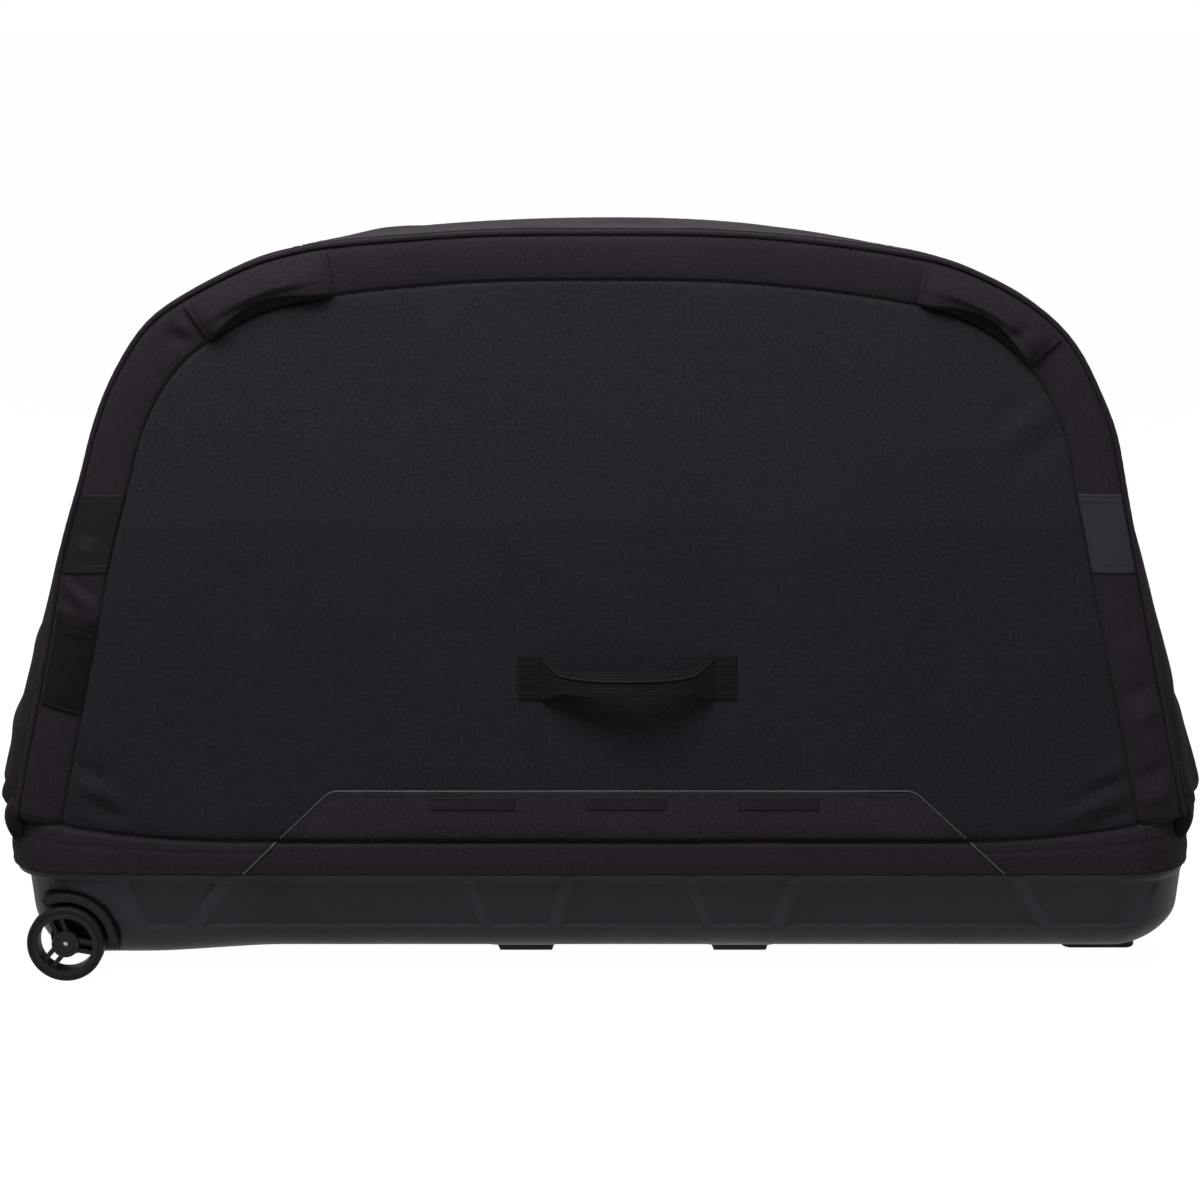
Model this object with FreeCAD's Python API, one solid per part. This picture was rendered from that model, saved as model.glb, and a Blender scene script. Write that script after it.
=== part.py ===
import FreeCAD
import Part
import math
import os

# Bike travel case: a padded fabric upper on a moulded tray with two wheels, in millimetres.
# +X runs to the end with the foot, +Y goes in from the cover that opens, and +Z is up.
# The origin is on the floor under the middle of the case.

# Clearances
SEAM_GAP = 0.3
SHAFT_GAP = 0.05
CUT_MARGIN = 20.0

# Whole case: the crease is where the cover folds down
CASE_LENGTH = 1400.0
CASE_DEPTH = 320.0
ARCH_TOP_Z = 850.0
CREASE_Z = 165.0

# Arch of the cover and the back, seen from the front
ARCH_END_INSET = 27.0
SIDE_LEAN = 12.4
TOP_RADIUS = 2100.0
SHOULDER_RADIUS = 270.0

# Cover and back: padded panel, border, piping, stiffening board
PANEL_THICKNESS = 9.0
BOARD_THICKNESS = 2.5
BORDER_WIDTH = 50.0
PIPING_RADIUS = 3.0
COVER_FOOT_GAP = 3.0
BOARD_MARGIN = 8.0
CORNER_RUN = 120.0
CORNER_LIFT = 30.0

# Gusset: the soft band between the cover and the back
GUSSET_FOOT_RISE = 39.0
GUSSET_LEAN = 16.8
GUSSET_TOP_SWELL = 2.0
GUSSET_THICKNESS = 10.0
GUSSET_SEAM_OFFSET = 18.5
GUSSET_SHOULDER_RUN = 40.0
GUSSET_SHOULDER_SWELL = 0.72
END_FOLD_THICKNESS = 15.0
END_FOLD_STAND_OUT = 3.0
END_FOLD_ROUND = 9.0

# Zip between the cover and the gusset
ZIP_TAPE_THICKNESS = 3.0
ZIP_TAPE_WIDTH = 6.0
ZIP_GAP = 2.0
ZIP_PARK_RISE = 85.0
SLIDER_LENGTH = 16.0
SLIDER_WIDTH = 10.0
SLIDER_PLATE = 2.4
SLIDER_POST = 1.4
PULL_LENGTH = 34.0
PULL_WIDTH = 8.0
PULL_THICKNESS = 1.6
PULL_PIN_RADIUS = 1.0
PULL_EYE_RADIUS = 1.9
PULL_LUG_WIDTH = 3.0

# Skirt round the tray's rim
SKIRT_END_INSET = 20.0
SKIRT_STAND_OUT = 3.0
SKIRT_THICKNESS = 4.0
SKIRT_HEIGHT = 37.0
SKIRT_CORNER = 79.0
SKIRT_TOP_GAP = 2.0
FOLD_STRIP_THICKNESS = 2.0

# Tray
TRAY_FLOOR_Z = 26.0
TRAY_WALL = 4.0
TRAY_LEDGE_DROP = 10.0
TRAY_LEDGE_THICKNESS = 6.0
TRAY_RIM_WALL = 6.0
TUB_LEFT_INSET = 16.0
TUB_RIGHT_INSET = 4.0
TUB_SIDE_INSET = 5.0
TUB_DRAFT_X = 8.0
TUB_DRAFT_Y = 10.0
TUB_CORNER = 75.0
TUB_BOTTOM_RADIUS = 50.0
PANEL_SINK = 4.0
SUNK_PANEL_TOP_DROP = 5.0
SUNK_PANEL_RISE = 34.0
# Sunk panels of the tray wall: left and right at the top, then at the bottom, as shares of half the length
SUNK_PANEL_SHARES = (
    ((-0.7786, -0.6143), (-0.7429, -0.6857)),
    ((-0.5714, -0.2286), (-0.6443, -0.1986)),
    ((-0.1786, -0.0614), (-0.1557, -0.0857)),
    ((-0.0357, 0.1314), (-0.0614, 0.1829)),
    ((0.1686, 0.2943), (0.2, 0.27)),
    ((0.3371, 0.6543), (0.3071, 0.7329)),
    ((0.7257, 0.9143), (0.77, 0.8829)),
)
SKID_SHARES = (-0.1243, 0.2357)
SKID_TOP_WIDTH = 78.0
SKID_BOTTOM_WIDTH = 60.0
SKID_HALF_DEPTH = 62.0
SKID_BOTTOM_Z = 9.0

# Wheels at the left end
WHEEL_INSET = 53.0
WHEEL_RADIUS = 44.0
WHEEL_WIDTH = 24.0
WHEEL_STAND_OUT = 5.0
TYRE_THICKNESS = 6.5
TYRE_ROUND = 4.0
RIM_THICKNESS = 6.0
RIM_RECESS = 2.0
HUB_WALL = 4.5
HUB_RECESS = 3.0
SPOKE_COUNT = 3
SPOKE_FIRST_ANGLE = 110.0
SPOKE_BAR_WIDTH = 5.0
SPOKE_BAR_SPREAD = 6.0
SPOKE_DEPTH = 12.0
AXLE_RADIUS = 4.0
AXLE_HEAD_RADIUS = 6.5
AXLE_HEAD_HEIGHT = 1.6
AXLE_NUT_RADIUS = 7.5
AXLE_NUT_HEIGHT = 7.0
BEARING_RADIUS = 11.0
BEARING_WIDTH = 7.0
BEARINGS_PER_WHEEL = 2
CAP_THICKNESS = 2.0
CAP_HOLE_RADIUS = 2.8
NUT_SIDES = 6

# Wheel housings
HOUSING_GAP = 5.0
HOUSING_THICKNESS = 9.5
HOUSING_PLATE = 4.0
HOUSING_DEPTH = 31.0
HOUSING_FIRST_ANGLE = -5.0
HOUSING_LAST_ANGLE = 117.0
HOUSING_ARC_STEPS = 4
HOUSING_HUB_RADIUS = 22.0
HOUSING_BOSS_RADIUS = 8.0
HOUSING_SCREW_ANGLES = (10.0, 65.0)
HOUSING_SCREW_CIRCLE = 34.0

# Screws of the housings, the foot and the rail
SCREW_RADIUS = 3.0
SCREW_HEAD_RADIUS = 5.0
SCREW_HEAD_HEIGHT = 3.5
SCREW_BITE = 3.0

# Foot at the right end
FOOT_INSET = 42.0
FOOT_LENGTH = 86.0
FOOT_HALF_DEPTH = 45.0
FOOT_CORNER = 12.0
FOOT_EDGE = 3.0
FOOT_SCREW_SPREAD = 40.0

# Stay rods that hold the upper open, and their sockets
STAY_RADIUS = 4.0
STAY_INSET = 20.0
STAY_KNEE_RISE = 35.0
STAY_KNEE_RADIUS = 60.0
STAY_FOOT_RISE = 1.0
STAY_SIDE_INSET = 48.0
SOCKET_WALL = 8.0
SOCKET_BASE = 5.0
SOCKET_TOP_DROP = 7.0

# Rail with floor pads
RAIL_END_INSET = 230.0
RAIL_WIDTH = 34.0
RAIL_HEIGHT = 24.0
RAIL_FLOOR = 6.0
RAIL_CAVITY_WIDTH = 22.0
RAIL_CAVITY_HEIGHT = 10.0
RAIL_SLOT_WIDTH = 12.0
RAIL_SCREW_SPREAD = 40.0
RAIL_SCREW_BITE = 12.0
PAD_LEFT_INSET = 144.0
PAD_RIGHT_INSET = 116.0
PAD_THICKNESS = 8.0
PAD_RAIL_GAP = 15.0
PAD_SIDE_INSET = 63.0

# Fork mount and rear mount on the rail
MOUNT_END_INSET = 140.0
FORK_TUBE_LENGTH = 110.0
REAR_TUBE_LENGTH = 148.0
FORK_BORE_RADIUS = 7.6
REAR_BORE_RADIUS = 6.1
MOUNT_AXLE_RISE = 180.0
MOUNT_TUBE_WALL = 6.0
SADDLE_LENGTH = 90.0
SADDLE_PLATE = 10.0
SADDLE_CHEEK = 8.0
SADDLE_CHEEK_DROP = 14.0
UPRIGHT_THICKNESS = 16.0
UPRIGHT_WIDTH = 60.0
UPRIGHT_OFFSET = 22.0
KNOB_RADIUS = 15.0
KNOB_HEIGHT = 18.0
KNOB_SCALLOPS = 6
KNOB_SCALLOP_RADIUS = 4.0
KNOB_SHAFT_RADIUS = 4.0
KEY_CLEARANCE = 0.9

# Gear pocket across the crease
POCKET_RISE = 61.0
# Left and right edges of the pocket, low and high, as shares of half the length
POCKET_LEFT_SHARES = (-0.58, -0.4357)
POCKET_RIGHT_SHARES = (0.6571, 0.5071)
POCKET_THICKNESS = 2.4
POCKET_PIPING_RADIUS = 1.6
POCKET_PIPING_CORNER = 3.0
TAB_SHARES = ((-0.2743, -0.1371), (-0.0243, 0.1071), (0.2229, 0.3529))
TAB_DROP = 6.0
TAB_HEIGHT = 16.0
TAB_THICKNESS = 1.0

# Trim on the borders
GRAB_RIGHT_ANGLES = (43.5, 81.0)
GRAB_LEFT_ANGLES = (57.0, 93.0)
GRAB_BACK_ANGLES = (50.0, 87.0)
GRAB_OUTER_INSET = 8.0
GRAB_INNER_INSET = 52.0
GRAB_HEIGHT = 16.0
GRAB_SKIN = 6.0
PATCH_TOP_RISE = 11.8
PATCH_HEIGHT = 89.0
PATCH_THICKNESS = 1.2
LABEL_DROP = 41.0
LABEL_HEIGHT = 109.0
LABEL_FALL = 16.0
LABEL_THICKNESS = 2.0
LABEL_MARGIN = 3.0

# Carry handles on the cover and the back
CARRY_X = 30.5
CARRY_LIFT = 193.0
CARRY_LENGTH = 245.0
CARRY_PATCH_WIDTH = 24.0
CARRY_PATCH_HEIGHT = 50.0
CARRY_PATCH_THICKNESS = 3.0
CARRY_RISE = 31.0
CARRY_ROOT = 5.0
CARRY_STRAP_THICKNESS = 7.0
CARRY_GRIP_LENGTH = 130.0
CARRY_GRIP_HEIGHT = 26.0
CARRY_LEG_HEIGHT = 36.0
CARRY_GRIP_ROUND = 3.0

FRONT = -1
BACK = 1
SIDES = (FRONT, BACK)

half_length = CASE_LENGTH / 2
half_depth = CASE_DEPTH / 2
skirt_half_length = half_length - SKIRT_END_INSET
skirt_half_depth = half_depth + SKIRT_STAND_OUT
skirt_hem_z = CREASE_Z - SKIRT_HEIGHT
skirt_top_z = CREASE_Z - SKIRT_TOP_GAP
cover_foot_z = CREASE_Z + COVER_FOOT_GAP
gusset_foot_z = CREASE_Z + GUSSET_FOOT_RISE
ledge_z = skirt_hem_z - TRAY_LEDGE_DROP
ledge_top_z = ledge_z + TRAY_LEDGE_THICKNESS
rim_inset = SKIRT_THICKNESS + SEAM_GAP
rim_inner_inset = rim_inset + TRAY_RIM_WALL
tub_left_x = TUB_LEFT_INSET - skirt_half_length
tub_right_x = skirt_half_length - TUB_RIGHT_INSET
tub_half_depth = half_depth - TUB_SIDE_INSET
wheel_x = tub_left_x + WHEEL_INSET
wheel_face_y = half_depth + WHEEL_STAND_OUT
housing_back_y = half_depth - HOUSING_DEPTH
foot_right_x = tub_right_x - FOOT_INSET
foot_left_x = foot_right_x - FOOT_LENGTH
rail_half_length = half_length - RAIL_END_INSET


def vec(x, y, z):
    return FreeCAD.Vector(x, y, z)


def box(x0, x1, y0, y1, z0, z1):
    """Block between two values along each axis, in either order."""
    low = vec(min(x0, x1), min(y0, y1), min(z0, z1))
    return Part.makeBox(abs(x1 - x0), abs(y1 - y0), abs(z1 - z0), low)


def rod_y(radius, x, z, y0, y1):
    return Part.makeCylinder(radius, abs(y1 - y0), vec(x, min(y0, y1), z), vec(0, 1, 0))


def rod_z(radius, x, y, z0, z1):
    return Part.makeCylinder(radius, z1 - z0, vec(x, y, z0))


def ring_y(inner, outer, x, z, y0, y1):
    return rod_y(outer, x, z, y0, y1).cut(rod_y(inner, x, z, y0, y1))


def prism_y(points, y0, y1):
    """Polygon in X and Z carried from one Y to another."""
    corners = [vec(x, y0, z) for x, z in points]
    return Part.Face(Part.makePolygon(corners + corners[:1])).extrude(vec(0, y1 - y0, 0))


def wedge(x, z, first, last, reach, y0, y1, steps):
    """Sector of the X and Z plane between two angles, as a fan of flat cuts."""
    rim = []
    for step in range(steps + 1):
        angle = math.radians(first + (last - first) * step / steps)
        rim.append((x + reach * math.cos(angle), z + reach * math.sin(angle)))
    return prism_y([(x, z)] + rim, y0, y1)


def fused(shapes):
    """Several overlapping solids as one."""
    return shapes[0].multiFuse(shapes[1:]).removeSplitter()


def mirrored_x(shape):
    return shape.mirror(vec(0, 0, 0), vec(1, 0, 0))


def tube_along(edges, radius):
    """Round bar along a chain of tangent edges."""
    wire = Part.Wire(edges)
    start = edges[0].valueAt(edges[0].FirstParameter)
    heading = edges[0].tangentAt(edges[0].FirstParameter)
    section = Part.Wire(Part.makeCircle(radius, start, heading))
    return wire.makePipeShell([section], True, True)


def rounded_path(points, radius):
    """Straight runs between points with a round corner at each inner point."""
    edges = []
    start = points[0]
    for before, corner, after in zip(points, points[1:], points[2:]):
        back = (before - corner).normalize()
        ahead = (after - corner).normalize()
        half_turn = (math.pi - back.getAngle(ahead)) / 2
        reach = radius * math.tan(half_turn)
        inward = (back + ahead).normalize()
        centre = corner + inward * (radius / math.cos(half_turn))
        first = corner + back * reach
        last = corner + ahead * reach
        edges.append(Part.LineSegment(start, first).toShape())
        edges.append(Part.Arc(first, centre - inward * radius, last).toShape())
        start = last
    edges.append(Part.LineSegment(start, points[-1]).toShape())
    return edges


class Arch:
    """Outline of the upper in X and Z: leaning sides, round shoulders and a bowed top."""

    def __init__(self, foot_x, foot_z, lean, top_z, top_radius, shoulder_radius):
        self.foot = (foot_x, foot_z)
        self.lean = math.radians(lean)
        self.top_z = top_z
        self.shoulder_radius = shoulder_radius
        along = (-math.sin(self.lean), math.cos(self.lean))
        start_x = foot_x - shoulder_radius * math.cos(self.lean)
        start_z = foot_z - shoulder_radius * math.sin(self.lean)
        fall = start_z - (top_z - top_radius)
        half_b = start_x * along[0] + fall * along[1]
        rest = start_x ** 2 + fall ** 2 - (top_radius - shoulder_radius) ** 2
        run = -half_b + math.sqrt(half_b ** 2 - rest)
        self.centre = (start_x + run * along[0], start_z + run * along[1])
        self.top_angle = math.atan2(self.centre[1] - (top_z - top_radius), self.centre[0])

    def side_x(self, inset, z):
        """X of the right side's line at a height, moved in by an inset."""
        climb = z - self.foot[1]
        return self.foot[0] - climb * math.tan(self.lean) - inset / math.cos(self.lean)

    def shoulder_point(self, inset, angle):
        radius = self.shoulder_radius - inset
        return (self.centre[0] + radius * math.cos(angle), self.centre[1] + radius * math.sin(angle))

    def chain(self, inset, bottom_z, y, leftward=True):
        """Open run of tangent edges from one foot over the top to the other."""
        flip = 1 if leftward else -1
        foot = (self.side_x(inset, bottom_z), bottom_z)
        side_end = self.shoulder_point(inset, self.lean)
        bend = self.shoulder_point(inset, (self.lean + self.top_angle) / 2)
        top_end = self.shoulder_point(inset, self.top_angle)
        near = [vec(flip * x, y, z) for x, z in (foot, side_end, bend, top_end)]
        far = [vec(-point.x, y, point.z) for point in near]
        crown = vec(0, y, self.top_z - inset)
        return [
            Part.LineSegment(near[0], near[1]).toShape(),
            Part.Arc(near[1], near[2], near[3]).toShape(),
            Part.Arc(near[3], crown, far[3]).toShape(),
            Part.Arc(far[3], far[2], far[1]).toShape(),
            Part.LineSegment(far[1], far[0]).toShape(),
        ]

    def slab(self, inset, bottom_z, y0, y1):
        """The whole outline carried from one Y to another."""
        foot_x = self.side_x(inset, bottom_z)
        base = Part.LineSegment(vec(-foot_x, y0, bottom_z), vec(foot_x, y0, bottom_z)).toShape()
        wire = Part.Wire(self.chain(inset, bottom_z, y0) + [base])
        return Part.Face(wire).extrude(vec(0, y1 - y0, 0))

    def band(self, outer_inset, inner_inset, bottom_z, y0, y1):
        """Strip that follows the outline between two insets, open at the bottom."""
        inner = self.slab(inner_inset, bottom_z - CUT_MARGIN, y0, y1)
        return self.slab(outer_inset, bottom_z, y0, y1).cut(inner)

    def ring_wire(self, thickness, bottom_z, y):
        """Closed section of a wall that follows the outline."""
        outer_x = self.side_x(0, bottom_z)
        inner_x = self.side_x(thickness, bottom_z)
        left = Part.LineSegment(vec(-outer_x, y, bottom_z), vec(-inner_x, y, bottom_z)).toShape()
        right = Part.LineSegment(vec(inner_x, y, bottom_z), vec(outer_x, y, bottom_z)).toShape()
        outer = self.chain(0, bottom_z, y)
        inner = self.chain(thickness, bottom_z, y, leftward=False)
        return Part.Wire(outer + [left] + inner + [right])


arch = Arch(half_length - ARCH_END_INSET, CREASE_Z, SIDE_LEAN, ARCH_TOP_Z, TOP_RADIUS, SHOULDER_RADIUS)
border_inset = 2 * PIPING_RADIUS
zip_inset = border_inset - ZIP_TAPE_THICKNESS - SEAM_GAP
board_face = PANEL_THICKNESS + BOARD_THICKNESS
zip_cover_start = half_depth - border_inset
zip_cover_end = half_depth - board_face - ZIP_TAPE_WIDTH + ZIP_GAP
zip_gusset_start = zip_cover_end - ZIP_GAP
gusset_front_y = zip_gusset_start - ZIP_TAPE_WIDTH
gusset_back_y = half_depth - PANEL_THICKNESS - SEAM_GAP


def across(side, y0, y1):
    """Two distances out from the middle plane as Y values on the front or the back."""
    return side * y0, side * y1


def corner_trims(foot_z):
    """Wedges that lift both lower corners of the cover or the back clear of the rounded rim."""
    outer_x = arch.side_x(0, foot_z)
    run = CORNER_RUN + CUT_MARGIN
    corners = (
        (outer_x - CORNER_RUN, foot_z),
        (outer_x + CUT_MARGIN, foot_z),
        (outer_x + CUT_MARGIN, foot_z + CORNER_LIFT * run / CORNER_RUN),
    )
    right = prism_y(corners, -CASE_DEPTH, CASE_DEPTH)
    return Part.makeCompound([right, mirrored_x(right)])


def arch_piece(side, foot_z):
    """Panel, border, piping and board of the cover or the back."""
    skin = across(side, half_depth - PANEL_THICKNESS, half_depth)
    stiff = across(side, half_depth - board_face, half_depth - PANEL_THICKNESS)
    board_inset = BOARD_MARGIN if side == FRONT else GUSSET_THICKNESS + SEAM_GAP
    seam_inset = border_inset + BORDER_WIDTH
    trims = corner_trims(foot_z)
    edge = arch.chain(PIPING_RADIUS, foot_z + CORNER_LIFT, side * (half_depth - PIPING_RADIUS))
    return {
        "panel": arch.slab(seam_inset, foot_z, *skin).cut(trims),
        "border": arch.band(border_inset, seam_inset, foot_z, *skin).cut(trims),
        "piping": tube_along(edge, PIPING_RADIUS),
        "board": arch.slab(board_inset, foot_z, *stiff).cut(trims),
    }


def swollen_arch(share):
    """Arch of the gusset where it has swollen by a share of its fullest."""
    seam_x = arch.side_x(0, gusset_foot_z)
    swell = share * GUSSET_TOP_SWELL
    return Arch(
        seam_x + share * (half_length - seam_x),
        gusset_foot_z,
        SIDE_LEAN + share * (GUSSET_LEAN - SIDE_LEAN),
        ARCH_TOP_Z + swell,
        TOP_RADIUS + swell,
        SHOULDER_RADIUS + swell,
    )


def gusset():
    """Left, top and right lengths of the swollen band, parted at its seams."""
    stations = (
        (-gusset_front_y, 0),
        (-gusset_front_y + GUSSET_SHOULDER_RUN, GUSSET_SHOULDER_SWELL),
        ((gusset_back_y - gusset_front_y) / 2, 1),
        (gusset_back_y - GUSSET_SHOULDER_RUN, GUSSET_SHOULDER_SWELL),
        (gusset_back_y, 0),
    )
    sections = [swollen_arch(share).ring_wire(GUSSET_THICKNESS, gusset_foot_z, y) for y, share in stations]
    whole = Part.makeLoft(sections, True, False)
    seam_x = arch.centre[0] + GUSSET_SEAM_OFFSET
    reach = CASE_LENGTH + ARCH_TOP_Z
    top = box(-seam_x, seam_x, -reach, reach, 0, reach)
    right = box(seam_x, reach, -reach, reach, 0, reach)
    return {
        "gusset_top": whole.common(top),
        "gusset_right": whole.common(right),
        "gusset_left": whole.common(mirrored_x(right)),
    }


def end_folds():
    """Soft rolls under the gusset at both ends, over the skirt."""
    outer = skirt_half_length + END_FOLD_STAND_OUT
    low = skirt_top_z + SEAM_GAP
    high = gusset_foot_z - SEAM_GAP
    roll = box(outer - END_FOLD_THICKNESS, outer, -gusset_front_y, gusset_back_y, low, high)
    outer_edges = [edge for edge in roll.Edges if edge.CenterOfMass.x > outer - SEAM_GAP]
    long_edges = [edge for edge in outer_edges if edge.BoundBox.YLength > half_depth]
    roll = roll.makeFillet(END_FOLD_ROUND, long_edges)
    return Part.makeCompound([roll, mirrored_x(roll)])


def rounded_rectangle(x0, x1, half_y, corner, z):
    """Closed wire with four round corners."""
    bend = corner * (1 - math.cos(math.pi / 4))
    runs = (
        (vec(x0 + corner, -half_y, z), vec(x1 - corner, -half_y, z), vec(x1 - bend, -half_y + bend, z)),
        (vec(x1, -half_y + corner, z), vec(x1, half_y - corner, z), vec(x1 - bend, half_y - bend, z)),
        (vec(x1 - corner, half_y, z), vec(x0 + corner, half_y, z), vec(x0 + bend, half_y - bend, z)),
        (vec(x0, half_y - corner, z), vec(x0, -half_y + corner, z), vec(x0 + bend, -half_y + bend, z)),
    )
    edges = []
    for index, (start, end, middle) in enumerate(runs):
        after = runs[(index + 1) % len(runs)][0]
        edges.append(Part.LineSegment(start, end).toShape())
        edges.append(Part.Arc(end, middle, after).toShape())
    return Part.Wire(edges)


def rim_block(inset, z0, z1):
    """Block in the plan of the skirt's outside, moved in by an inset."""
    half_x = skirt_half_length - inset
    wire = rounded_rectangle(-half_x, half_x, skirt_half_depth - inset, SKIRT_CORNER - inset, z0)
    return Part.Face(wire).extrude(vec(0, 0, z1 - z0))


def tub_block(inset, floor_z):
    """Drafted tub with round corners and a round bottom edge, moved in by an inset."""
    sections = []
    for z, draft_x, draft_y in ((floor_z, TUB_DRAFT_X, TUB_DRAFT_Y), (ledge_top_z, 0, 0)):
        sections.append(rounded_rectangle(
            tub_left_x + inset + draft_x,
            tub_right_x - inset - draft_x,
            tub_half_depth - inset - draft_y,
            TUB_CORNER - inset,
            z,
        ))
    block = Part.makeLoft(sections, True, True)
    floor_edges = [edge for edge in block.Edges if edge.BoundBox.ZMax < floor_z + SEAM_GAP]
    return block.makeFillet(TUB_BOTTOM_RADIUS - inset, floor_edges)


def sunk_panels():
    """Trapezoids through both long walls of the tray."""
    low_z = TRAY_FLOOR_Z + SUNK_PANEL_RISE
    high_z = ledge_z - SUNK_PANEL_TOP_DROP
    prisms = []
    for (top_left, top_right), (low_left, low_right) in SUNK_PANEL_SHARES:
        corners = ((low_left, low_z), (low_right, low_z), (top_right, high_z), (top_left, high_z))
        placed = [(share * half_length, z) for share, z in corners]
        prisms.append(prism_y(placed, -CASE_DEPTH, CASE_DEPTH))
    return Part.makeCompound(prisms)


housing_inner = WHEEL_RADIUS + HOUSING_GAP
housing_outer = housing_inner + HOUSING_THICKNESS
well_radius = housing_outer + SEAM_GAP
well_back_y = housing_back_y - TRAY_WALL
wheel_z = WHEEL_RADIUS
hub_front_y = wheel_face_y - RIM_RECESS
hub_back_y = wheel_face_y - WHEEL_WIDTH + HUB_RECESS
bearings_y = hub_back_y + 2 * SEAM_GAP
axle_head_y = bearings_y + BEARINGS_PER_WHEEL * BEARING_WIDTH + SEAM_GAP
cavity_floor_z = TRAY_FLOOR_Z + TRAY_WALL
foot_centre_x = (foot_left_x + foot_right_x) / 2
foot_screws_x = [foot_centre_x + sign * FOOT_SCREW_SPREAD / 2 for sign in SIDES]
skid_centres_x = [share * half_length for share in SKID_SHARES]
rail_screws_x = [centre + sign * RAIL_SCREW_SPREAD / 2 for centre in skid_centres_x for sign in SIDES]
rail_top_z = cavity_floor_z + RAIL_HEIGHT


def housing_screw_places():
    places = []
    for degrees in HOUSING_SCREW_ANGLES:
        angle = math.radians(degrees)
        x = wheel_x + HOUSING_SCREW_CIRCLE * math.cos(angle)
        places.append((x, wheel_z + HOUSING_SCREW_CIRCLE * math.sin(angle)))
    return places


def skid(centre_x):
    """Bump under the tray that takes the rail's screws."""
    top = SKID_TOP_WIDTH / 2
    low = SKID_BOTTOM_WIDTH / 2
    corners = (
        (centre_x - top, cavity_floor_z),
        (centre_x + top, cavity_floor_z),
        (centre_x + low, SKID_BOTTOM_Z),
        (centre_x - low, SKID_BOTTOM_Z),
    )
    return prism_y(corners, -SKID_HALF_DEPTH, SKID_HALF_DEPTH)


def base_tray(tub):
    """Tub with a rim, sunk wall panels, skids and a well for each wheel."""
    skin = tub.cut(tub_block(PANEL_SINK, TRAY_FLOOR_Z))
    outer = tub.cut(skin.common(sunk_panels()))
    rim = rim_block(rim_inset, ledge_z, skirt_top_z)
    hollow = tub_block(PANEL_SINK + TRAY_WALL, cavity_floor_z)
    rim_hollow = rim_block(rim_inner_inset, ledge_top_z, skirt_top_z)
    tray = outer.fuse(rim).cut(hollow).cut(rim_hollow)
    far = half_depth + CUT_MARGIN
    for side in SIDES:
        well = rod_y(well_radius, wheel_x, wheel_z, *across(side, housing_back_y, far))
        wall = rod_y(well_radius + TRAY_WALL, wheel_x, wheel_z, *across(side, well_back_y, far))
        tray = tray.fuse(wall.common(tub)).cut(well)
        nut_room = across(side, well_back_y - AXLE_NUT_HEIGHT - CUT_MARGIN, well_back_y)
        holes = [
            rod_y(AXLE_RADIUS + SHAFT_GAP, wheel_x, wheel_z, *across(side, well_back_y, far)),
            rod_y(AXLE_NUT_RADIUS + SEAM_GAP, wheel_x, wheel_z, *nut_room),
        ]
        for x, z in housing_screw_places():
            holes.append(rod_y(SCREW_RADIUS + SHAFT_GAP, x, z, *across(side, well_back_y, far)))
        tray = tray.cut(Part.makeCompound(holes))
    tray = fused([tray] + [skid(x) for x in skid_centres_x])
    blind_z = cavity_floor_z - RAIL_SCREW_BITE
    holes = [rod_z(SCREW_RADIUS + SHAFT_GAP, x, 0, blind_z, cavity_floor_z) for x in rail_screws_x]
    holes += [rod_z(SCREW_RADIUS + SHAFT_GAP, x, 0, 0, cavity_floor_z) for x in foot_screws_x]
    return tray.cut(Part.makeCompound(holes))


def skirt():
    """Fabric band round the tray's rim."""
    outer = rim_block(0, skirt_hem_z, skirt_top_z)
    return outer.cut(rim_block(SKIRT_THICKNESS, skirt_hem_z, skirt_top_z))


def wheel_housing(side):
    """Arch over the wheel with the plate and boss that carry the axle."""
    faces = across(side, housing_back_y, half_depth)
    plate_faces = across(side, housing_back_y, housing_back_y + HOUSING_PLATE)
    fan = wedge(wheel_x, wheel_z, HOUSING_FIRST_ANGLE, HOUSING_LAST_ANGLE, housing_outer * 2,
                *faces, HOUSING_ARC_STEPS)
    arc = ring_y(housing_inner, housing_outer, wheel_x, wheel_z, *faces).common(fan)
    plate = rod_y(housing_outer, wheel_x, wheel_z, *plate_faces).common(fan)
    hub = rod_y(HOUSING_HUB_RADIUS, wheel_x, wheel_z, *plate_faces)
    boss = rod_y(HOUSING_BOSS_RADIUS, wheel_x, wheel_z,
                 *across(side, housing_back_y, hub_back_y + SEAM_GAP))
    solid = fused([arc, plate, hub, boss])
    solid = solid.cut(rod_y(AXLE_RADIUS + SHAFT_GAP, wheel_x, wheel_z, *faces))
    bite = across(side, housing_back_y, housing_back_y + SCREW_BITE)
    for x, z in housing_screw_places():
        solid = solid.cut(rod_y(SCREW_RADIUS + SHAFT_GAP, x, z, *bite))
    return solid


def housing_screws():
    """Screws from inside the tray into the two housings."""
    screws = []
    for side in SIDES:
        shank_ends = across(side, well_back_y - SCREW_HEAD_HEIGHT, housing_back_y + SCREW_BITE)
        head_ends = across(side, well_back_y - SCREW_HEAD_HEIGHT, well_back_y)
        for x, z in housing_screw_places():
            shank = rod_y(SCREW_RADIUS, x, z, *shank_ends)
            screws.append(shank.fuse(rod_y(SCREW_HEAD_RADIUS, x, z, *head_ends)))
    return Part.makeCompound(screws)


def wheel_axle(side):
    """Stub axle with a flat head outside the bearings."""
    shank = rod_y(AXLE_RADIUS, wheel_x, wheel_z, *across(side, well_back_y - AXLE_NUT_HEIGHT, axle_head_y))
    head = rod_y(AXLE_HEAD_RADIUS, wheel_x, wheel_z,
                 *across(side, axle_head_y, axle_head_y + AXLE_HEAD_HEIGHT))
    return shank.fuse(head)


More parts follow.
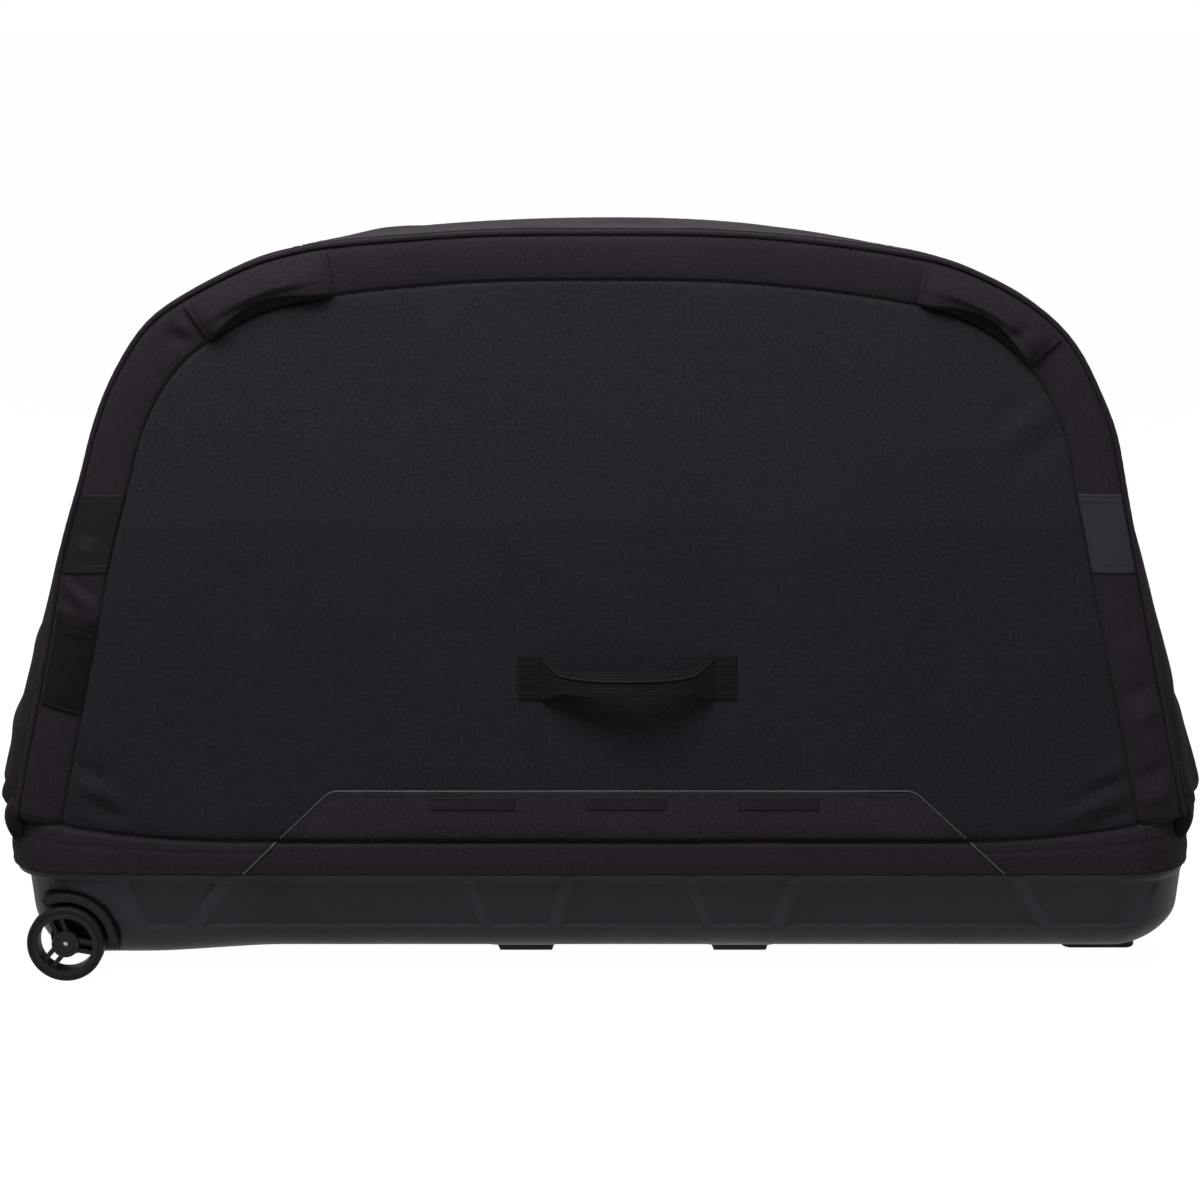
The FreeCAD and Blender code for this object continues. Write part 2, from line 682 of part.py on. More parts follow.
def axle_nut(side):
    """Hexagon nut inside the tray."""
    corners = []
    for index in range(NUT_SIDES):
        angle = 2 * math.pi * index / NUT_SIDES
        x = wheel_x + AXLE_NUT_RADIUS * math.cos(angle)
        corners.append((x, wheel_z + AXLE_NUT_RADIUS * math.sin(angle)))
    ends = across(side, well_back_y - AXLE_NUT_HEIGHT, well_back_y)
    return prism_y(corners, *ends).cut(rod_y(AXLE_RADIUS + SHAFT_GAP, wheel_x, wheel_z, *ends))


def wheel(side):
    """Tyre, rim with twin-bar spokes, bearings and hub cap of one wheel."""
    faces = across(side, wheel_face_y - WHEEL_WIDTH, wheel_face_y)
    rim_outer = WHEEL_RADIUS - TYRE_THICKNESS
    rim_inner = rim_outer - RIM_THICKNESS
    hub_bore = BEARING_RADIUS + SHAFT_GAP
    hub_outer = hub_bore + HUB_WALL
    tyre = rod_y(WHEEL_RADIUS, wheel_x, wheel_z, *faces)
    tyre = tyre.makeFillet(TYRE_ROUND, [edge for edge in tyre.Edges if len(edge.Vertexes) == 1])
    tyre = tyre.cut(rod_y(rim_outer + SHAFT_GAP, wheel_x, wheel_z, *faces))
    ring = ring_y(rim_inner, rim_outer, wheel_x, wheel_z, *faces)
    hub = rod_y(hub_outer, wheel_x, wheel_z, *across(side, hub_back_y, hub_front_y))
    spoke_middle = (hub_back_y + hub_front_y) / 2
    depth = across(side, spoke_middle - SPOKE_DEPTH / 2, spoke_middle + SPOKE_DEPTH / 2)
    pieces = [ring, hub]
    for index in range(SPOKE_COUNT):
        for sign in SIDES:
            low = sign * SPOKE_BAR_SPREAD - SPOKE_BAR_WIDTH / 2
            bar = box(hub_bore, (rim_inner + rim_outer) / 2, *depth, low, low + SPOKE_BAR_WIDTH)
            turn = SPOKE_FIRST_ANGLE + index * 360 / SPOKE_COUNT
            bar.rotate(vec(0, 0, 0), vec(0, -1, 0), turn)
            bar.translate(vec(wheel_x, 0, wheel_z))
            pieces.append(bar)
    rim = fused(pieces).cut(rod_y(hub_bore, wheel_x, wheel_z, *across(side, hub_back_y, hub_front_y)))
    bearings = []
    for index in range(BEARINGS_PER_WHEEL):
        start = bearings_y + index * BEARING_WIDTH
        ends = across(side, start, start + BEARING_WIDTH)
        bearings.append(ring_y(AXLE_RADIUS + SHAFT_GAP, BEARING_RADIUS, wheel_x, wheel_z, *ends))
    cap_ends = across(side, hub_front_y - CAP_THICKNESS, hub_front_y)
    cap = ring_y(CAP_HOLE_RADIUS, BEARING_RADIUS, wheel_x, wheel_z, *cap_ends)
    return {"tyre": tyre, "rim": rim, "bearings": Part.makeCompound(bearings), "hub_cap": cap}


def end_foot(tub):
    """Rubber foot shaped to the round bottom of the tray."""
    top_z = TRAY_FLOOR_Z + TUB_BOTTOM_RADIUS
    foot = box(foot_left_x, foot_right_x, -FOOT_HALF_DEPTH, FOOT_HALF_DEPTH, 0, top_z)
    upright = [edge for edge in foot.Edges if edge.BoundBox.ZLength > top_z / 2]
    foot = foot.makeFillet(FOOT_CORNER, upright)
    foot = foot.makeFillet(FOOT_EDGE, [edge for edge in foot.Edges if edge.BoundBox.ZMax < SEAM_GAP])
    foot = foot.cut(tub)
    for x in foot_screws_x:
        foot = foot.cut(rod_z(SCREW_RADIUS + SHAFT_GAP, x, 0, 0, top_z))
        foot = foot.cut(rod_z(SCREW_HEAD_RADIUS + SEAM_GAP, x, 0, 0, TRAY_FLOOR_Z / 2))
    return foot


def foot_screws():
    """Screws up through the foot into the tray's floor."""
    screws = []
    for x in foot_screws_x:
        head_top = TRAY_FLOOR_Z / 2
        head = rod_z(SCREW_HEAD_RADIUS, x, 0, head_top - SCREW_HEAD_HEIGHT, head_top)
        screws.append(head.fuse(rod_z(SCREW_RADIUS, x, 0, head_top, cavity_floor_z)))
    return Part.makeCompound(screws)


stay_knee_z = CREASE_Z + STAY_KNEE_RISE
stay_foot_z = ledge_top_z + STAY_FOOT_RISE
stay_foot_x = arch.side_x(STAY_INSET, stay_knee_z)
stay_y = half_depth - STAY_SIDE_INSET


def stay_rod(side):
    """Bent rod: upright in its sockets, then along the arch."""
    y = side * stay_y
    knee = vec(stay_foot_x, y, stay_knee_z)
    foot = vec(stay_foot_x, y, stay_foot_z)
    chain = arch.chain(STAY_INSET, stay_knee_z, y)
    side_end = chain[0].valueAt(chain[0].LastParameter)
    right = rounded_path([foot, knee, side_end], STAY_KNEE_RADIUS)
    left = rounded_path([vec(-point.x, y, point.z) for point in (side_end, knee, foot)], STAY_KNEE_RADIUS)
    return tube_along(right + chain[1:4] + left, STAY_RADIUS)


def rod_sockets():
    """Four blocks on the tray's end walls that take the rods' feet."""
    low = stay_foot_z - SOCKET_BASE
    high = CREASE_Z - SOCKET_TOP_DROP
    inside = rim_block(rim_inner_inset + SEAM_GAP, ledge_top_z, high)
    hollow = tub_block(PANEL_SINK + TRAY_WALL + SEAM_GAP, cavity_floor_z)
    reach = STAY_RADIUS + SOCKET_WALL
    end_x = min(tub_right_x, -tub_left_x)
    sockets = []
    for side in SIDES:
        for sign in SIDES:
            x = sign * stay_foot_x
            y = side * stay_y
            inner_x = x - sign * reach
            sides = (y - reach, y + reach)
            foot = box(inner_x, sign * end_x, *sides, low, ledge_top_z).common(hollow)
            body = box(inner_x, sign * skirt_half_length, *sides, ledge_top_z, high).common(inside)
            bore = rod_z(STAY_RADIUS + SHAFT_GAP, x, y, stay_foot_z, high)
            sockets.append(fused([foot, body]).cut(bore))
    return Part.makeCompound(sockets)


def mount_rail():
    """Slotted rail along the tray's floor."""
    ends = (-rail_half_length, rail_half_length)
    floor_z = cavity_floor_z + RAIL_FLOOR
    cavity_top_z = floor_z + RAIL_CAVITY_HEIGHT
    rail = box(*ends, -RAIL_WIDTH / 2, RAIL_WIDTH / 2, cavity_floor_z, rail_top_z)
    cavity = box(*ends, -RAIL_CAVITY_WIDTH / 2, RAIL_CAVITY_WIDTH / 2, floor_z, cavity_top_z)
    slot = box(*ends, -RAIL_SLOT_WIDTH / 2, RAIL_SLOT_WIDTH / 2, floor_z, rail_top_z)
    rail = rail.cut(cavity).cut(slot)
    holes = [rod_z(SCREW_RADIUS + SHAFT_GAP, x, 0, cavity_floor_z, floor_z) for x in rail_screws_x]
    holes += [rod_z(SCREW_HEAD_RADIUS + SHAFT_GAP, x, 0, floor_z - SCREW_HEAD_HEIGHT, floor_z)
              for x in rail_screws_x]
    return rail.cut(Part.makeCompound(holes))


def rail_screws():
    """Sunk screws through the rail's floor into the skids."""
    top_z = cavity_floor_z + RAIL_FLOOR
    screws = []
    for x in rail_screws_x:
        head = rod_z(SCREW_HEAD_RADIUS, x, 0, top_z - SCREW_HEAD_HEIGHT, top_z)
        low = cavity_floor_z - RAIL_SCREW_BITE
        screws.append(head.fuse(rod_z(SCREW_RADIUS, x, 0, low, top_z - SCREW_HEAD_HEIGHT)))
    return Part.makeCompound(screws)


def floor_pads():
    """Foam strips on the tray's floor beside the rail."""
    ends = (tub_left_x + PAD_LEFT_INSET, tub_right_x - PAD_RIGHT_INSET)
    heights = (cavity_floor_z, cavity_floor_z + PAD_THICKNESS)
    inner = RAIL_WIDTH / 2 + PAD_RAIL_GAP
    outer = tub_half_depth - PAD_SIDE_INSET
    return Part.makeCompound([box(*ends, *across(side, inner, outer), *heights) for side in SIDES])


saddle_low_z = rail_top_z + SEAM_GAP
saddle_top_z = saddle_low_z + SADDLE_PLATE
key_low_z = cavity_floor_z + RAIL_FLOOR + KEY_CLEARANCE
mount_axle_z = cavity_floor_z + MOUNT_AXLE_RISE
rear_mount_x = rail_half_length - MOUNT_END_INSET
fork_mount_x = -rear_mount_x


def axle_mount(x, inward, tube_length, bore_radius):
    """Saddle on the rail with an upright that holds an axle tube across the case."""
    rail_half = RAIL_WIDTH / 2 + SEAM_GAP
    outside = rail_half + SADDLE_CHEEK
    ends = (x - SADDLE_LENGTH / 2, x + SADDLE_LENGTH / 2)
    plate = box(*ends, -outside, outside, saddle_low_z, saddle_top_z)
    cheeks = [box(*ends, *across(side, rail_half, outside), rail_top_z - SADDLE_CHEEK_DROP, saddle_top_z)
              for side in SIDES]
    neck_half = RAIL_SLOT_WIDTH / 2 - SEAM_GAP
    wing_half = RAIL_CAVITY_WIDTH / 2 - SEAM_GAP
    wing_top_z = cavity_floor_z + RAIL_FLOOR + RAIL_CAVITY_HEIGHT - SEAM_GAP
    neck = box(*ends, -neck_half, neck_half, key_low_z, saddle_top_z)
    wings = box(*ends, -wing_half, wing_half, key_low_z, wing_top_z)
    upright_x = x - inward * UPRIGHT_OFFSET
    half = UPRIGHT_THICKNESS / 2
    upright = box(upright_x - half, upright_x + half, -UPRIGHT_WIDTH / 2, UPRIGHT_WIDTH / 2,
                  saddle_low_z, mount_axle_z)
    tube_ends = (-tube_length / 2, tube_length / 2)
    tube = rod_y(bore_radius + MOUNT_TUBE_WALL, upright_x, mount_axle_z, *tube_ends)
    solid = fused([plate, neck, wings, upright, tube] + cheeks)
    solid = solid.cut(rod_y(bore_radius, upright_x, mount_axle_z, *tube_ends))
    shaft_x = x + inward * UPRIGHT_OFFSET
    return solid.cut(rod_z(KNOB_SHAFT_RADIUS + SHAFT_GAP, shaft_x, 0, key_low_z, saddle_top_z))


def clamp_knob(x, inward):
    """Scalloped knob whose screw runs down through the saddle to the rail."""
    shaft_x = x + inward * UPRIGHT_OFFSET
    low = saddle_top_z + SEAM_GAP
    high = low + KNOB_HEIGHT
    knob = rod_z(KNOB_RADIUS, shaft_x, 0, low, high)
    for index in range(KNOB_SCALLOPS):
        angle = 2 * math.pi * index / KNOB_SCALLOPS
        scallop_x = shaft_x + KNOB_RADIUS * math.cos(angle)
        scallop_y = KNOB_RADIUS * math.sin(angle)
        knob = knob.cut(rod_z(KNOB_SCALLOP_RADIUS, scallop_x, scallop_y, low, high))
    return knob.fuse(rod_z(KNOB_SHAFT_RADIUS, shaft_x, 0, key_low_z, low))


pocket_top_z = CREASE_Z + POCKET_RISE
pocket_split_z = cover_foot_z + COVER_FOOT_GAP


def pocket_edge_x(z, out=0):
    """Left and right edges of the gear pocket at a height, moved out from its sides."""
    height = pocket_top_z - skirt_hem_z
    edges = []
    for sign, (low, high) in zip(SIDES, (POCKET_LEFT_SHARES, POCKET_RIGHT_SHARES)):
        run = (high - low) * half_length
        flare = out * math.hypot(run, height) / height
        edges.append(low * half_length + run * (z - skirt_hem_z) / height + sign * flare)
    return edges


def pocket_panel(low_z, high_z, face_y):
    """Length of the pocket's trapezoid on a plane at the front."""
    low_left, low_right = pocket_edge_x(low_z)
    high_left, high_right = pocket_edge_x(high_z)
    corners = ((low_left, low_z), (low_right, low_z), (high_right, high_z), (high_left, high_z))
    return prism_y(corners, -face_y - POCKET_THICKNESS, -face_y)


def pocket_piping():
    """Cord sewn along the pocket's slanted sides and top edge."""
    y = -half_depth - POCKET_PIPING_RADIUS
    out = POCKET_PIPING_RADIUS + SEAM_GAP
    top_z = pocket_top_z + out
    low_left, low_right = pocket_edge_x(pocket_split_z, out)
    high_left, high_right = pocket_edge_x(top_z, out)
    points = [
        vec(low_left, y, pocket_split_z),
        vec(high_left, y, top_z),
        vec(high_right, y, top_z),
        vec(low_right, y, pocket_split_z),
    ]
    return tube_along(rounded_path(points, POCKET_PIPING_CORNER), POCKET_PIPING_RADIUS)


def pocket_tabs():
    """Three stitched tabs along the pocket's top edge."""
    face = half_depth + POCKET_THICKNESS
    high = pocket_top_z - TAB_DROP
    tabs = []
    for left, right in TAB_SHARES:
        ends = (left * half_length, right * half_length)
        tabs.append(box(*ends, -face - TAB_THICKNESS, -face, high - TAB_HEIGHT, high))
    return Part.makeCompound(tabs)


def grab_handle(side, angles):
    """Right-hand padded flap on the border between two angles, open along its inner edge."""
    centre_x, centre_z = arch.centre
    first_angle, last_angle = angles
    reach = 2 * SHOULDER_RADIUS
    skin = across(side, half_depth, half_depth + GRAB_HEIGHT)
    hollow = across(side, half_depth, half_depth + GRAB_HEIGHT - GRAB_SKIN)
    end_angle = math.degrees(GRAB_SKIN / (SHOULDER_RADIUS - GRAB_INNER_INSET))
    fan = wedge(centre_x, centre_z, first_angle, last_angle, reach, *skin, 1)
    inner_fan = wedge(centre_x, centre_z, first_angle + end_angle, last_angle - end_angle, reach, *hollow, 1)
    flap = arch.band(GRAB_OUTER_INSET, GRAB_INNER_INSET, CREASE_Z, *skin).common(fan)
    room = arch.band(GRAB_OUTER_INSET + GRAB_SKIN, GRAB_INNER_INSET + GRAB_SKIN, CREASE_Z, *hollow)
    return flap.cut(room.common(inner_fan))


patch_high_z = arch.centre[1] + PATCH_TOP_RISE
patch_low_z = patch_high_z - PATCH_HEIGHT
label_top_z = patch_low_z - LABEL_DROP
label_low_z = label_top_z - LABEL_HEIGHT


def edge_patch(side):
    """Right-hand patch of coated fabric on the border."""
    faces = across(side, half_depth, half_depth + PATCH_THICKNESS)
    strip = arch.band(border_inset, border_inset + BORDER_WIDTH, CREASE_Z, *faces)
    return strip.common(box(0, CASE_LENGTH, -CASE_LENGTH, CASE_LENGTH, patch_low_z, patch_high_z))


def label_pocket():
    """Flat pocket on the left border."""
    faces = across(FRONT, half_depth, half_depth + LABEL_THICKNESS)
    strip = arch.band(border_inset + LABEL_MARGIN, border_inset + BORDER_WIDTH, CREASE_Z, *faces)
    outer_x = -half_length
    slope = LABEL_FALL / BORDER_WIDTH
    edge_x = -arch.side_x(0, label_low_z)
    corners = []
    for x in (outer_x, 0):
        corners.append((x, label_low_z - (x - edge_x) * slope))
    for x in (0, outer_x):
        corners.append((x, label_top_z - (x - edge_x) * slope))
    return strip.common(prism_y(corners, *faces))


carry_z = CREASE_Z + CARRY_LIFT
carry_half_span = CARRY_LENGTH / 2 - CARRY_PATCH_WIDTH
carry_axis = half_depth + CARRY_ROOT
carry_radius = (carry_half_span ** 2 + CARRY_RISE ** 2) / (2 * CARRY_RISE)


def carry_strap(side, height, x0, x1):
    """Length of the arched strap between two distances from the handle's middle."""
    low = carry_z - height / 2
    centre = vec(CARRY_X, side * (carry_axis + CARRY_RISE - carry_radius), low)
    outer = Part.makeCylinder(carry_radius + CARRY_STRAP_THICKNESS / 2, height, centre)
    inner = Part.makeCylinder(carry_radius - CARRY_STRAP_THICKNESS / 2, height, centre)
    reach = box(CARRY_X + x0, CARRY_X + x1, *across(side, half_depth + SEAM_GAP, CASE_DEPTH),
                low, low + height)
    return outer.cut(inner).common(reach)


def carry_patches(side):
    """Sewn ends of the carry handle."""
    faces = across(side, half_depth, half_depth + CARRY_PATCH_THICKNESS)
    low = carry_z - CARRY_PATCH_HEIGHT / 2
    patches = []
    for sign in SIDES:
        near = CARRY_X + sign * carry_half_span
        patches.append(box(near, near + sign * CARRY_PATCH_WIDTH, *faces, low, low + CARRY_PATCH_HEIGHT))
    return Part.makeCompound(patches)


def carry_legs(side):
    """Webbing between each sewn patch and the grip."""
    start = CARRY_GRIP_LENGTH / 2 + SEAM_GAP
    right = carry_strap(side, CARRY_LEG_HEIGHT, start, carry_half_span - SEAM_GAP)
    left = carry_strap(side, CARRY_LEG_HEIGHT, -carry_half_span + SEAM_GAP, -start)
    return Part.makeCompound([right, left])


def carry_grip(side):
    """Folded and padded middle of the carry handle."""
    half = CARRY_GRIP_LENGTH / 2
    grip = carry_strap(side, CARRY_GRIP_HEIGHT, -half, half)
    long_edges = [edge for edge in grip.Edges if edge.Length > half]
    return grip.makeFillet(CARRY_GRIP_ROUND, long_edges)


def on_zip(shape):
    """Place a shape made about the origin on the right side's zip, along its lean."""
    shape.rotate(vec(0, 0, 0), vec(0, 1, 0), -SIDE_LEAN)
    shape.translate(vec(arch.side_x(zip_inset, zip_park_z), 0, zip_park_z))
    return shape


zip_park_z = CREASE_Z + ZIP_PARK_RISE
zip_middle_y = -(zip_cover_end - ZIP_GAP / 2)
pull_pin_x = SEAM_GAP + SLIDER_PLATE + PULL_EYE_RADIUS + SEAM_GAP


def zip_slider():
    """Two plates joined by a post between the tapes, with a lug for the pull."""
    half = SLIDER_LENGTH / 2
    near = zip_middle_y - SLIDER_WIDTH / 2 + ZIP_GAP / 2
    far = zip_middle_y + SLIDER_WIDTH / 2 - ZIP_GAP / 2
    outer = box(SEAM_GAP, SEAM_GAP + SLIDER_PLATE, near, far, -half, half)
    back = -ZIP_TAPE_THICKNESS - SEAM_GAP
    inner = box(back - SLIDER_PLATE, back, near, far, -half, half)
    post_ends = (zip_middle_y - SLIDER_POST / 2, zip_middle_y + SLIDER_POST / 2)
    post = box(back, SEAM_GAP, *post_ends, -half / 2, half / 2)
    lug_half = PULL_LUG_WIDTH / 2
    lug = box(SEAM_GAP, pull_pin_x + PULL_EYE_RADIUS, zip_middle_y - lug_half, zip_middle_y + lug_half,
              -PULL_EYE_RADIUS, PULL_EYE_RADIUS)
    solid = fused([outer, inner, post, lug])
    return on_zip(solid.cut(rod_y(PULL_PIN_RADIUS + SHAFT_GAP, pull_pin_x, 0, near, far)))


def zip_pull():
    """Tab that hangs from the slider's lug on a pin."""
    half = PULL_WIDTH / 2
    near, far = zip_middle_y - half, zip_middle_y + half
    thin = PULL_THICKNESS / 2
    tab = box(pull_pin_x - thin, pull_pin_x + thin, near, far, -PULL_LENGTH, 0)
    eye = rod_y(PULL_EYE_RADIUS, pull_pin_x, 0, near, far)
    lug_half = PULL_LUG_WIDTH / 2 + SEAM_GAP
    clear = PULL_EYE_RADIUS * 2 + SEAM_GAP
    slot = box(pull_pin_x - clear, pull_pin_x + clear, zip_middle_y - lug_half, zip_middle_y + lug_half,
               -clear, clear)
    fork = tab.fuse(eye).cut(slot)
    return on_zip(fork.fuse(rod_y(PULL_PIN_RADIUS, pull_pin_x, 0, near, far)).removeSplitter())


def fold_strip():
    """Fabric hinge between the cover's foot and the skirt's top."""
    reach = arch.side_x(0, cover_foot_z) - CORNER_RUN
    face_y = -half_depth
    return box(-reach, reach, face_y - FOLD_STRIP_THICKNESS / 2, face_y + FOLD_STRIP_THICKNESS / 2,
               skirt_top_z + SEAM_GAP, cover_foot_z - SEAM_GAP)


def zip_tape(y0, y1):
    """One woven tape of the zip, along the arch."""
    return arch.band(zip_inset, zip_inset + ZIP_TAPE_THICKNESS, gusset_foot_z, *across(FRONT, y0, y1))


def pair(maker, side):
    """Left and right copies of a right-hand piece."""
    right = maker(side)
    return Part.makeCompound([right, mirrored_x(right)])


def build():
    """Every node of the case by name."""
    tub = tub_block(0, TRAY_FLOOR_Z)
    nodes = {
        "base_tray": base_tray(tub),
        "lower_skirt": skirt(),
        "fold_strip": fold_strip(),
        "end_folds": end_folds(),
        "wheel_axles": Part.makeCompound([wheel_axle(side) for side in SIDES]),
        "axle_nuts": Part.makeCompound([axle_nut(side) for side in SIDES]),
        "housing_screws": housing_screws(),
        "end_foot": end_foot(tub),
        "foot_screws": foot_screws(),
        "rod_sockets": rod_sockets(),
        "mount_rail": mount_rail(),
        "rail_screws": rail_screws(),
        "floor_pads": floor_pads(),
        "fork_mount": axle_mount(fork_mount_x, 1, FORK_TUBE_LENGTH, FORK_BORE_RADIUS),
        "fork_knob": clamp_knob(fork_mount_x, 1),
        "rear_mount": axle_mount(rear_mount_x, -1, REAR_TUBE_LENGTH, REAR_BORE_RADIUS),
        "rear_knob": clamp_knob(rear_mount_x, -1),
        "zip_tape_cover": zip_tape(zip_cover_start, zip_cover_end),
        "zip_tape_gusset": zip_tape(zip_gusset_start, gusset_front_y),
        "zip_slider": zip_slider(),
        "zip_pull": zip_pull(),
        "gear_pocket": pocket_panel(pocket_split_z, pocket_top_z, half_depth),
        "pocket_hem": pocket_panel(skirt_hem_z, skirt_top_z - SKIRT_TOP_GAP, skirt_half_depth),
        "pocket_piping": pocket_piping(),
        "pocket_tabs": pocket_tabs(),
        "grab_handle_right": grab_handle(FRONT, GRAB_RIGHT_ANGLES),
        "grab_handle_left": mirrored_x(grab_handle(FRONT, GRAB_LEFT_ANGLES)),
        "back_grab_handles": pair(lambda side: grab_handle(side, GRAB_BACK_ANGLES), BACK),
        "edge_patches": pair(edge_patch, FRONT),
        "back_edge_patches": pair(edge_patch, BACK),
        "label_pocket": label_pocket(),
    }
    nodes.update(gusset())
    for side, word, foot_z in ((FRONT, "cover", cover_foot_z), (BACK, "back", skirt_top_z + SEAM_GAP)):
        for name, shape in arch_piece(side, foot_z).items():
            nodes[f"{word}_{name}"] = shape
    for side, word in ((FRONT, "front"), (BACK, "back")):
        nodes[f"{word}_carry_patches"] = carry_patches(side)
        nodes[f"{word}_carry_legs"] = carry_legs(side)
        nodes[f"{word}_carry_grip"] = carry_grip(side)
        nodes[f"stay_rod_{word}"] = stay_rod(side)
        nodes[f"wheel_housing_{word}"] = wheel_housing(side)
        for name, shape in wheel(side).items():
            nodes[f"{word}_{name}"] = shape
    return nodes


os.makedirs("parts", exist_ok=True)
for node, shape in build().items():
    shape.exportStep(f"parts/{node}.step")
    print(node, len(shape.Solids), "solids", round(shape.Volume / 1000), "cm3", shape.isValid())
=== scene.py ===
"""Bike travel case: fabric upper, sewn trim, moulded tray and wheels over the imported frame, on a studio stage."""

import math

import bpy
import numpy as np
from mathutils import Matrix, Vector


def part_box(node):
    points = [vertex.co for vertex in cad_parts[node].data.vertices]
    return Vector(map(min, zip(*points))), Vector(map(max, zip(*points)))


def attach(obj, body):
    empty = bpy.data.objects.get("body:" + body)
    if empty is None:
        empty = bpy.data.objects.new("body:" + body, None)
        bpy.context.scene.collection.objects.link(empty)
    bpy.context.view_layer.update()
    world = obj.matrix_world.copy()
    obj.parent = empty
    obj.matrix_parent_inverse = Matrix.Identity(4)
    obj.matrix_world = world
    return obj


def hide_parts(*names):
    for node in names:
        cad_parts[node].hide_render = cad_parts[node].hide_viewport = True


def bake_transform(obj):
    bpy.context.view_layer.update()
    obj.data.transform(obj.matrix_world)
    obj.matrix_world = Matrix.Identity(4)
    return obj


bl_info = {
    "name": "Bike travel case",
    "version": (1, 0, 0),
    "blender": (4, 5, 0),
    "location": "View3D > Sidebar > Travel case",
    "description": "Sews and moulds the visible pieces of a bike travel case round its packed frame",
    "category": "Object",
}

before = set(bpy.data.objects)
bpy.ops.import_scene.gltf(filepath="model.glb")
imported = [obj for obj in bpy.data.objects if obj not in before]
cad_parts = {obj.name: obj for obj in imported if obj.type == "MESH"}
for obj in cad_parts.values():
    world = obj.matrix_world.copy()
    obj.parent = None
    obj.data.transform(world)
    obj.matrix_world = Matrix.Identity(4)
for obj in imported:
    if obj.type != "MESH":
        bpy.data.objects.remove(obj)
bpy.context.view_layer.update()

FRONT = -1
BACK = 1
# The two faces: side, word for handles and patches, word for skins, and body
FACES = ((FRONT, "front", "cover", "cover"), (BACK, "back", "back", "case"))
# The two ends: sign of X and word
ENDS = ((-1, "left"), (1, "right"))
FULL_TURN = 2 * math.pi


def length(label, text, default):
    return bpy.props.FloatProperty(name=label, description=text, default=default, unit="LENGTH", precision=4)


def colour(label, text, default):
    return bpy.props.FloatVectorProperty(name=label, description=text, default=default, subtype="COLOR",
                                         min=0.0, max=1.0)


class CaseShape(bpy.types.PropertyGroup):
    """Sizes of the upper and its trim, in the frame's metres."""

    arch_half_width: length("Arch half width", "Half the cover's width at the crease", 0.673)
    crease_height: length("Crease height", "Height of the fold between the cover and the skirt", 0.165)
    arch_top: length("Arch top", "Height of the cover's top edge", 0.850)
    top_radius: length("Top radius", "Radius of the bowed top edge", 2.1)
    shoulder_radius: length("Shoulder radius", "Radius of the two upper corners", 0.270)
    side_lean: bpy.props.FloatProperty(name="Side lean", description="How far both sides lean inwards",
                                       default=math.radians(12.4), subtype="ANGLE")
    half_depth: length("Half depth", "Distance of the cover's and the back's faces from the middle", 0.160)
    border_width: length("Border width", "Width of the sewn border round the padded panel", 0.050)
    piping_radius: length("Piping radius", "Radius of the piping round the cover's edge", 0.003)
    swell: length("Panel swell", "How far the padding lifts the panel in the middle", 0.0045)
    gusset_half_width: length("Gusset half width", "Half the width of the gusset at its foot", 0.700)
    gusset_rise: length("Gusset rise", "How far the gusset stands over the arch's top", 0.0004)
    gusset_foot: length("Gusset foot", "Height of the gusset's lower edge", 0.204)
    hem_height: length("Hem height", "Height of the skirt's lower edge", 0.128)
    strap_width: length("Strap width", "Width of the carry handle's webbing where it is sewn", 0.050)
    stitch_pitch: length("Stitch pitch", "Distance from one stitch to the next", 0.0042)


class CaseFinish(bpy.types.PropertyGroup):
    """Colours of the fabrics, plastics, rubber and metal."""

    panel: colour("Panel cloth", "Woven cloth of the padded panel", (0.0192, 0.0166, 0.0216))
    border: colour("Border cloth", "Woven cloth of the border, the skirt and the pockets", (0.0200, 0.0155, 0.0210))
    gusset: colour("Gusset cloth", "Woven cloth of the gusset", (0.0185, 0.0150, 0.0192))
    coated: colour("Coated cloth", "Coated patches on the border", (0.0070, 0.0060, 0.0080))
    webbing: colour("Webbing", "Webbing of the carry handles", (0.0050, 0.0040, 0.0055))
    thread: colour("Thread", "Sewing thread", (0.0062, 0.0057, 0.0068))
    cord: colour("Piping cord", "Glossier piping of the gear pocket", (0.034, 0.032, 0.037))
    tray: colour("Tray", "Moulded plastic of the tray", (0.0180, 0.0156, 0.0218))
    plastic: colour("Black plastic", "Plastic of the wheels, housings and mounts", (0.0040, 0.0038, 0.0047))
    rubber: colour("Rubber", "Tyres and the end foot", (0.0048, 0.0046, 0.0056))
    board: colour("Board", "Stiffening boards", (0.0175, 0.0155, 0.0190))
    foam: colour("Foam", "Closed-cell floor pads", (0.018, 0.018, 0.020))
    alloy: colour("Alloy", "Rail along the tray", (0.52, 0.53, 0.55))
    steel: colour("Steel", "Screws, axles, nuts and bearings", (0.42, 0.42, 0.43))
    knob: colour("Knob plastic", "Plastic of the clamp knobs", (0.020, 0.020, 0.021))
    zinc: colour("Blackened zinc", "Zip slider and its pull", (0.012, 0.012, 0.013))


class CaseStage(bpy.types.PropertyGroup):
    """Camera and light."""

    lens: bpy.props.FloatProperty(name="Lens", description="Focal length on a 36 mm sensor", default=87.0,
                                  subtype="DISTANCE_CAMERA")
    camera_distance: length("Camera distance", "How far the camera stands in front of the middle", 3.328)
    camera_height: length("Camera height", "Height of the camera over the floor", 1.099)
    camera_pitch: bpy.props.FloatProperty(name="Camera pitch", description="How far the camera looks down",
                                          default=math.radians(11.66), subtype="ANGLE")
    sky: bpy.props.FloatProperty(name="Sky", description="Strength of the even light from all round", default=0.15)
    key: bpy.props.FloatProperty(name="Key light", description="Power of the light above the camera",
                                 default=80.0, subtype="POWER")


def smooth(values):
    """Soft step from 0 to 1."""
    held = np.clip(values, 0.0, 1.0)
    return held * held * (3.0 - 2.0 * held)


